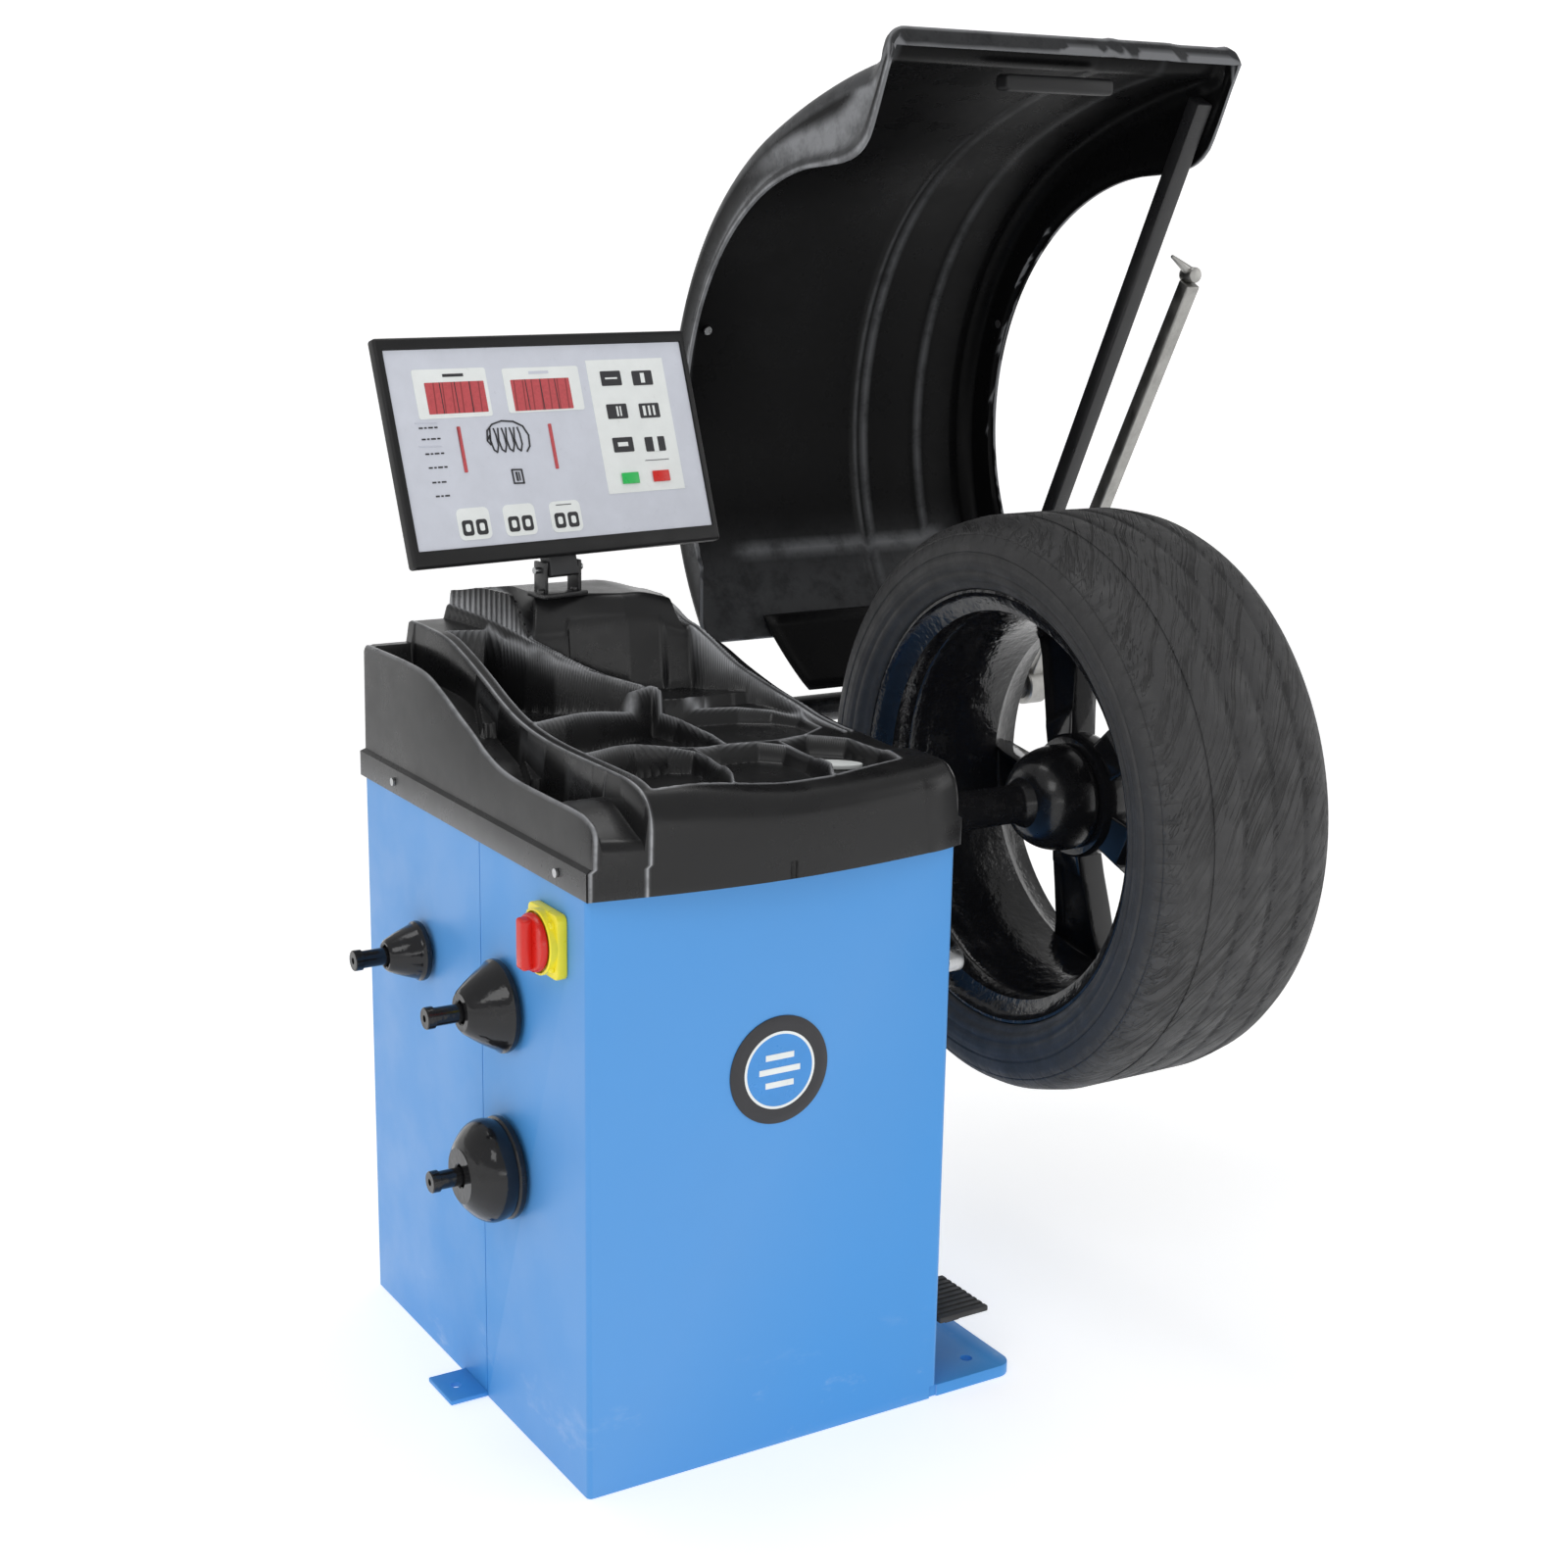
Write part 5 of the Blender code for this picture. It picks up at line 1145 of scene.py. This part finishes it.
def display_marks(bm):
    """The tyre section, the small panel mark, the dashes, and the keys along the bottom and right."""
    white, ink, pale = 1, 2, 4
    for x in (-75, -64, -53, -42):
        outline_ring(bm, [(x - 3, 166), (x - 4.5, 152), (x - 2, 141), (x + 2, 138), (x + 5, 146), (x + 4, 158),
            (x + 2, 166)], 1.6, ink)
    outline_ring(bm, [(-84, 152), (-82, 164), (-74, 171), (-60, 174.5), (-44, 173), (-32, 167), (-26, 156),
        (-27, 143), (-32, 137)], 1.8, ink)
    outline_ring(bm, [(-84, 152), (-80, 158), (-80, 147), (-84, 152)], 1.4, ink)
    outline_ring(bm, [(-58, 116.5), (-44.5, 116), (-44, 100), (-57.5, 100.5), (-58, 116.5)], 1.8, ink)
    outline_ring(bm, [(-52.5, 113), (-52, 103.5)], 2.4, ink)
    outline_ring(bm, [(-49, 113), (-48.5, 103.5)], 1.2, ink)
    for row, z in enumerate((171, 158, 141, 125, 108, 92)):
        x = -172 + row * 1.2
        for n, length in enumerate((5, 3, 6, 4)[: 4 if row < 4 else 3]):
            film(bm, x, z - 0.9, x + length, z + 0.9, ink)
            x += length + 2.2
    outline_ring(bm, [(-176, 177), (-147, 176)], 0.6, pale)
    outline_ring(bm, [(-176, 150), (-147, 149)], 0.6, pale)
    for x, z in ((107, 219), (154, 218), (107.5, 178.5), (156, 177.5), (107.5, 137.5), (155.5, 136)):
        film(bm, x - 15, z - 9, x + 15, z + 9, ink, 0.0011, 1.5)
    marks = {(107, 219): [(-9, -1, 9, 1)], (154, 218): [(-3, -6, 3, 6)],
        (107.5, 178.5): [(-1, -6, 1.5, 6), (4, -6, 6, 6)],
        (156, 177.5): [(-10, -6, -6, 6), (-2, -6, 1, 6), (5, -6, 8, 6)], (107.5, 137.5): [(-8, -2, 7, 3)],
        (155.5, 136): [(-3, -9, 4, 9)]}
    for (x, z), bars in marks.items():
        for x0, z0, x1, z1 in bars:
            film(bm, x + x0, z + z0, x + x1, z + z1, white, 0.0014)
    film(bm, 136, 116, 172, 116.8, ink, 0.0010)
    for left, top in ((-144, 76), (-81, 76), (-16, 75.5)):
        film(bm, left, top - 37, left + 44, top, white, 0.0007, 7.0)
        for n in range(2):
            x = left + 5 + 19 * n
            film(bm, x, top - 32, x + 15, top - 14, ink, 0.0011, 3.5)
            film(bm, x + 4.2, top - 27.5, x + 10.8, top - 18.5, white, 0.0014, 2.2)
    film(bm, -6, 70.5, 16, 71.5, ink, 0.0010)


def display_mount():
    """A forked bracket with its two bolts and the plate at its foot."""
    low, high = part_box("display_fork")
    x, y = -0.0396, 0.150
    turn = Matrix.Translation((x, y, 0)) @ Matrix.Rotation(0.154, 4, "Z")
    foot = low.z
    bm = bmesh.new()
    join(bm, block((-0.032, -0.018, foot), (0.032, 0.018, foot + 0.006), 0.0015, 2), turn)
    for side in (-1, 1):
        inner, outer = sorted((side * 0.0215, side * 0.0265))
        join(bm, block((inner, -0.012, foot + 0.003), (outer, 0.012, high.z), 0.0015, 2), turn)
    for side in (-1, 1):
        join(bm, rod((side * 0.024 - 0.004, -0.006, foot + 0.004), (side * 0.024 - 0.004, -0.006, foot + 0.010),
            0.005, sides=6, soft=0.0008), turn)
    return bm


# ---------------------------------------------------------------- left side


CONE_BORE, PEG_R, COLLAR_R = 0.0130, 0.0104, 0.0124


def storage_cone(size, looks):
    """A bell-shaped cone with a bored nose, on its peg."""
    low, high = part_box(f"cone_{size}")
    y, z = (low.y + high.y) / 2, (low.z + high.z) / 2
    wide = (high.z - low.z) / 2
    narrow = {"small": 0.018, "medium": 0.023, "large": 0.033}[size]
    back, nose = high.x, low.x
    depth = back - nose
    rim = ((0.004, 0.0), (0.0008, 0.001), (0.0, 0.0035), (0.0005, 0.007), (0.003, 0.009))
    profile = [(CONE_BORE, back)] + [(wide - dr, back - dx) for dr, dx in rim]
    bulge = 0.20 if size == "large" else 0.03
    for i in range(1, 14):
        t = i / 14
        r = wide - 0.003 + (narrow - wide + 0.003) * t + wide * bulge * math.sin(math.pi * t)
        profile.append((r, back - 0.009 - (depth - 0.009) * t))
    profile += [(narrow, nose + 0.0012), (narrow - 0.0015, nose), (CONE_BORE + 0.0015, nose),
        (CONE_BORE, nose + 0.0015)]
    cone = lathe(profile, (0, y, z), 72, True)
    piece(f"spare_cone_{size}", cone, looks["cone"], f"{size}_cone", f"cone_{size}", slot="cone_black")
    plow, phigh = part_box(f"peg_{size}")
    tip, root = plow.x, phigh.x
    peg = [(0.0, root), (0.0135, root), (0.0140, root - 0.001), (0.0140, root - 0.003), (0.0135, root - 0.004)]
    peg += [(PEG_R, root - 0.0042), (PEG_R, tip + 0.0105), (COLLAR_R, tip + 0.0095), (COLLAR_R, tip + 0.001)]
    peg += [(COLLAR_R - 0.001, tip), (0.004, tip), (0.0035, tip + 0.003), (0.0, tip + 0.003)]
    piece(f"storage_peg_{size}", lathe(peg, (0, y, z), 40), looks["cone"], "machine", f"peg_{size}", slot="steel")


def isolator(looks):
    low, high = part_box("switch_plate")
    y, z = (low.y + high.y) / 2, (low.z + high.z) / 2
    back, front = high.x, low.x
    plate = block((back - 0.012, low.y, low.z), (back, high.y, high.z))
    round_along(plate, 0, 0.008, 5, 0.001)
    soften(plate, 0.0016, 2, 60)
    ring = lathe([(0.0333, back - 0.010), (0.0350, back - 0.010), (0.0355, back - 0.012), (0.0355, front + 0.001),
        (0.0345, front), (0.0333, front)], (0, y, z), 72, True)
    dish = lathe([(0.0, back - 0.011), (0.0340, back - 0.011), (0.0340, back - 0.0145), (0.0, back - 0.0145)],
        (0, y, z), 64)
    bm = together(plate, ring, dish)
    for a in (0.8, 2.4, 3.9, 5.5):
        cy, cz = y + 0.0345 * math.cos(a), z + 0.0345 * math.sin(a)
        join(bm, rod((back - 0.012, cy, cz), (front + 0.003, cy, cz), 0.0042, sides=20, soft=0.0006))
    piece("switch_body", bm, looks["yellow"], "machine", "switch_plate", slot="yellow")
    klow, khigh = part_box("switch_knob")
    face = khigh.x
    dial = lathe([(0.0, face), (0.0312, face), (0.0315, face - 0.001), (0.0315, face - 0.005),
        (0.0300, face - 0.0072), (0.027, face - 0.008), (0.0, face - 0.008)], (0, y, z), 72)
    grip = block((klow.x, y - 0.0075, z - 0.0278), (face - 0.005, y + 0.0075, z + 0.0278), 0.004, 4)
    for v in grip.verts:
        v.co.y = y + (v.co.y - y) * (1 + 0.35 * ((v.co.z - z) / 0.026) ** 2)
    piece("switch_dial", together(dial, grip), looks["red"], "power_knob", "switch_knob", slot="red")


# ---------------------------------------------------------------- arms, gauges and pedal


def square_arm(start, lean, length, half, x, soft):
    """A square bar from start, leaning forward from upright."""
    bm = block((x - half, -half, 0.0), (x + half, half, length), soft, 3)
    turn = Matrix.Translation((0, start[0], start[1])) @ Matrix.Rotation(lean, 4, "X")
    bmesh.ops.transform(bm, matrix=turn, verts=bm.verts)
    return bm


PIVOT = (0.452, 0.6624)
ARM_LEAN, BAR_LEAN = math.radians(25.6), math.radians(27.3)


def hub_ring(x0, x1, radius, bore):
    return lathe([(bore, x0), (radius - 0.002, x0), (radius, x0 + 0.002), (radius, x1 - 0.002),
        (radius - 0.002, x1), (bore, x1)], (0, *PIVOT), 56, True)


def pedal_tread(looks):
    low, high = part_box("pedal_pad")
    bm = block(low, high, 0.002, 2)
    ribs = [block((low.x - 0.01, low.y + 0.007 + 0.0105 * n, high.z - 0.0022),
        (high.x + 0.01, low.y + 0.0125 + 0.0105 * n, high.z + 0.01), 0.0006, 1) for n in range(8)]
    piece("pedal_tread", cut(bm, *ribs), looks["rubber"], "pedal", "pedal_pad", slot="rubber")


# ---------------------------------------------------------------- operators


LOOKS = {}


def looks_now():
    """The finishes, made once and then read back by name."""
    if not LOOKS:
        LOOKS.update(all_finishes(bpy.context.scene.balancer_colours))
    return LOOKS


class BALANCER_OT_stage(bpy.types.Operator):
    """Makes the camera, the pale floor and the soft lights"""

    bl_idname = "balancer.stage"
    bl_label = "Stage"

    def execute(self, context):
        make_camera()
        make_sky()
        make_floor()
        area_light("key_light", (-2.6, -2.2, 3.4), (0.1, 0.0, 0.7), (1.6, 1.6), 22.5)
        area_light("top_light", (0.2, 0.6, 3.6), (0.2, 0.0, 0.7), (2.4, 1.2), 24.0)
        area_light("right_light", (3.4, -1.6, 2.0), (0.3, 0.0, 0.7), (1.0, 2.2), 10.0)
        area_light("strip_light", (-0.6, -3.4, 1.0), (0.3, 0.2, 0.9), (2.6, 0.25), 5.0)
        context.scene.view_settings.view_transform = "Standard"
        context.scene.view_settings.look = "None"
        return {"FINISHED"}


class BALANCER_OT_cabinet(bpy.types.Operator):
    """Makes the cabinet, its rear door, base plate, floor tab and round badge"""

    bl_idname = "balancer.cabinet"
    bl_label = "Cabinet"

    def execute(self, context):
        looks, sizes = looks_now(), context.scene.balancer_sizes
        piece("cabinet_body", cabinet_body(sizes), looks["coat"], "machine", "cabinet_shell", slot="blue", angle=25)
        piece("rear_door", rear_door(), looks["coat"], "machine", "rear_panel", slot="blue")
        foot_and_base(looks, sizes)
        round_badge(looks)
        return {"FINISHED"}


class BALANCER_OT_tray(bpy.types.Operator):
    """Makes the moulded weight tray and the pale pad in its front right pocket"""

    bl_idname = "balancer.tray"
    bl_label = "Weight tray"

    def execute(self, context):
        looks, sizes = looks_now(), context.scene.balancer_sizes
        piece("tray_moulding", tray_shell(sizes), looks["tray"], "machine", "weight_tray", slot="black_plastic",
            angle=48)
        lens = [(0.036 * math.cos(a), 0.015 * math.sin(a)) for a in [2 * math.pi * i / 28 for i in range(28)]]
        pad = prism(lens, 0.0, 0.0050, "XY", 0.0010, 2)
        bmesh.ops.transform(pad,
            matrix=Matrix.Translation((0.146, -0.172, 0.7505)) @ Matrix.Rotation(math.radians(-35), 4, "Z"),
            verts=pad.verts)
        piece("pocket_pad", pad, looks["white"], "machine")
        return {"FINISHED"}


class BALANCER_OT_display(bpy.types.Operator):
    """Makes the display with its print, keys and forked bracket"""

    bl_idname = "balancer.display"
    bl_label = "Display"

    def execute(self, context):
        looks = looks_now()
        piece("display_case", display_case(), looks["case"], "display", "display_housing", slot="black_plastic")
        bm = display_print(looks)
        display_marks(bm)
        shown = [looks[k] for k in ("panel", "white", "ink", "led", "pale")]
        piece("display_print", bm, shown, "display", "display_panel", slot="panel_grey")
        for name, look, node, x in (("key_green", "green", "start_key", 0.1087),
            ("key_red", "red", "stop_key", 0.1552)):
            key = block((x - 0.0125, -0.0304, 0.0895), (x + 0.0125, -0.0290, 0.1030), 0.0006, 3)
            body = {"start_key": "start_button", "stop_key": "stop_button"}[node]
            piece(name, together(key, place=SCREEN), looks[look], body, node, slot=look)
        piece("display_bracket", display_mount(), looks["black_steel"], "machine", "display_fork", slot="iron")
        return {"FINISHED"}


class BALANCER_OT_spindle(bpy.types.Operator):
    """Makes the spindle with its bell and thread, and the clamp's cone and quick nut"""

    bl_idname = "balancer.spindle"
    bl_label = "Spindle"

    def execute(self, context):
        looks = looks_now()
        piece("spindle_shaft", spindle_shaft(), looks["shaft"], "spindle", "main_shaft", slot="black_steel",
            angle=40)
        cone = [(0.048, 0.662), (0.048, 0.653), (0.046, 0.651), (0.029, 0.614), (0.026, 0.612), (0.0195, 0.612),
            (0.0195, 0.662)]
        piece("clamp_cone", lathe(cone, (0, AXIS.y, AXIS.z), 64, True, 0.0008), looks["steel"], "clamp",
            "centring_cone", slot="steel")
        nut = [(0.026, 0.735), (0.030, 0.733), (0.040, 0.727), (0.0405, 0.722), (0.0405, 0.692), (0.043, 0.688),
            (0.054, 0.685), (0.056, 0.682), (0.056, 0.6625), (0.0195, 0.6625), (0.0195, 0.735)]
        bm = together(lathe(nut, (0, AXIS.y, AXIS.z), 64, True, 0.0008))
        for s in (-1, 1):
            join(bm, rod((0.709, AXIS.y, AXIS.z + 0.030 * s), (0.722, AXIS.y, AXIS.z + 0.099 * s), 0.0085, 0.0075,
                28, 0.003))
        piece("clamp_nut", bm, looks["shaft"], "clamp", "quick_nut", slot="black_steel")
        return {"FINISHED"}


class BALANCER_OT_wheel(bpy.types.Operator):
    """Makes the five-spoke wheel and its tyre"""

    bl_idname = "balancer.wheel"
    bl_label = "Wheel and tyre"

    def execute(self, context):
        looks, sizes = looks_now(), context.scene.balancer_sizes
        bm = bmesh.new()
        join(bm, wheel_barrel(), None, 1)
        join(bm, wheel_hub(), None, 0)
        join(bm, wheel_spokes(sizes), None, 0)
        piece("alloy_wheel", bm, [looks["alloy"], looks["barrel"]], "wheel", "wheel_rim", slot="rim_black",
            angle=40)
        piece("wheel_tyre", tyre_body(sizes), looks["tyre"], "wheel", "tyre", slot="tyre", angle=60)
        return {"FINISHED"}


class BALANCER_OT_hood(bpy.types.Operator):
    """Makes the hood, its tongue, its grip and the arm that carries it"""

    bl_idname = "balancer.hood"
    bl_label = "Hood"

    def execute(self, context):
        looks, sizes = looks_now(), context.scene.balancer_sizes
        shell = piece("hood_moulding", hood_body(sizes), looks["hood"], "hood", "hood_shell", slot="hood_black",
            angle=50)
        thicken(shell, sizes.hood_wall, -1.0, 0.0012)
        tongue = piece("hood_tongue", hood_tongue(), looks["hood"], "hood", slot="hood_black", angle=50)
        thicken(tongue, 0.004, 0.0, 0.0010)
        grip = block((0.495, 0.012, 1.507), (0.660, 0.040, 1.527), 0.006, 4)
        piece("hood_grip", grip, looks["case"], "hood", slot="hood_black")
        arm = together(square_arm(PIVOT, ARM_LEAN, 0.938, 0.0122, 0.830, 0.003),
            hub_ring(0.801, 0.859, 0.030, 0.0204))
        piece("hood_bar", arm, looks["black_steel"], "hood", "hood_arm", slot="black_steel")
        return {"FINISHED"}


class BALANCER_OT_gauges(bpy.types.Operator):
    """Makes the outer gauge bar with its finger, and the inner gauge's head"""

    bl_idname = "balancer.gauges"
    bl_label = "Gauges"

    def execute(self, context):
        looks = looks_now()
        bar = together(square_arm(PIVOT, BAR_LEAN, 0.690, 0.0108, 0.906, 0.0025),
            hub_ring(0.889, 0.923, 0.029, 0.0204))
        piece("gauge_bar", bar, looks["zinc"], "width_gauge", "gauge_arm", slot="zinc")
        y, z = PIVOT[0] - 0.690 * math.sin(BAR_LEAN), PIVOT[1] + 0.690 * math.cos(BAR_LEAN)
        tip = rod((0.913, y, z + 0.010), (0.868, y - 0.004, z + 0.036), 0.0085, 0.0022, 28, 0.0015)
        boss = rod((0.906, y + 0.012, z + 0.011), (0.906, y - 0.012, z + 0.011), 0.0105, None, 32, 0.002)
        piece("gauge_tip", together(tip, boss), looks["zinc"], "width_gauge", "gauge_finger", slot="zinc")
        low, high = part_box("distance_head")
        y, z = -0.240, 0.520
        head = together(rod((0.2623, y, z), (0.284, y, z), 0.014, None, 40, 0.0015),
            block((0.266, y, z - 0.006), (0.278, high.y, z + 0.006), 0.002, 3))
        piece("gauge_head", head, looks["steel"], "distance_pointer", "distance_head", slot="iron")
        return {"FINISHED"}


class BALANCER_OT_cones(bpy.types.Operator):
    """Makes the three spare cones and their pegs"""

    bl_idname = "balancer.cones"
    bl_label = "Spare cones"

    def execute(self, context):
        for size in ("small", "medium", "large"):
            storage_cone(size, looks_now())
        return {"FINISHED"}


class BALANCER_OT_switch(bpy.types.Operator):
    """Makes the rotary mains switch"""

    bl_idname = "balancer.switch"
    bl_label = "Mains switch"

    def execute(self, context):
        isolator(looks_now())
        return {"FINISHED"}


class BALANCER_OT_pedal(bpy.types.Operator):
    """Makes the ribbed brake pedal"""

    bl_idname = "balancer.pedal"
    bl_label = "Brake pedal"

    def execute(self, context):
        pedal_tread(looks_now())
        return {"FINISHED"}


class BALANCER_OT_inner_parts(bpy.types.Operator):
    """Gives each frame part that still shows its own finish"""

    bl_idname = "balancer.inner_parts"
    bl_label = "Inner parts"

    def execute(self, context):
        looks = looks_now()
        by_slot = {"blue": "coat", "black_plastic": "case", "hood_black": "hood", "black_steel": "black_steel",
            "cone_black": "cone", "rim_black": "alloy", "steel": "steel", "zinc": "zinc", "iron": "iron",
            "rubber": "rubber", "tyre": "tyre", "panel_grey": "panel", "green": "green", "red": "red",
            "yellow": "yellow", "board_green": "board", "motor_grey": "grey_paint", "badge": "ink"}
        slots = {part["node"]: part["material_slot"] for part in frame["record"]["subparts"]}
        for name, obj in frame["nodes"].items():
            obj.data.materials.clear()
            obj.data.materials.append(looks[by_slot[slots[name]]])
        return {"FINISHED"}


class BALANCER_PT_panel(bpy.types.Panel):
    """Lists the machine's builders"""

    bl_idname = "BALANCER_PT_panel"
    bl_label = "Wheel balancer"
    bl_space_type = "VIEW_3D"
    bl_region_type = "UI"
    bl_category = "Balancer"

    def draw(self, context):
        for group in (context.scene.balancer_sizes, context.scene.balancer_colours):
            for key in group.__annotations__:
                self.layout.prop(group, key)
        for builder in BUILDERS:
            self.layout.operator(builder.bl_idname)


BUILDERS = (
    BALANCER_OT_stage,
    BALANCER_OT_inner_parts,
    BALANCER_OT_cabinet,
    BALANCER_OT_tray,
    BALANCER_OT_display,
    BALANCER_OT_spindle,
    BALANCER_OT_wheel,
    BALANCER_OT_hood,
    BALANCER_OT_gauges,
    BALANCER_OT_cones,
    BALANCER_OT_switch,
    BALANCER_OT_pedal,
)
CLASSES = (BalancerColours, BalancerSizes, *BUILDERS, BALANCER_PT_panel)


def register():
    for made in CLASSES:
        bpy.utils.register_class(made)
    bpy.types.Scene.balancer_colours = PointerProperty(type=BalancerColours)
    bpy.types.Scene.balancer_sizes = PointerProperty(type=BalancerSizes)


def unregister():
    del bpy.types.Scene.balancer_sizes
    del bpy.types.Scene.balancer_colours
    for made in reversed(CLASSES):
        bpy.utils.unregister_class(made)


def main():
    register()
    for builder in BUILDERS:
        group, name = builder.bl_idname.split(".")
        if getattr(getattr(bpy.ops, group), name)() != {"FINISHED"}:
            raise RuntimeError(f"{builder.bl_label} wasn't finished")
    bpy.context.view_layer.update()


if __name__ == "__main__":
    main()
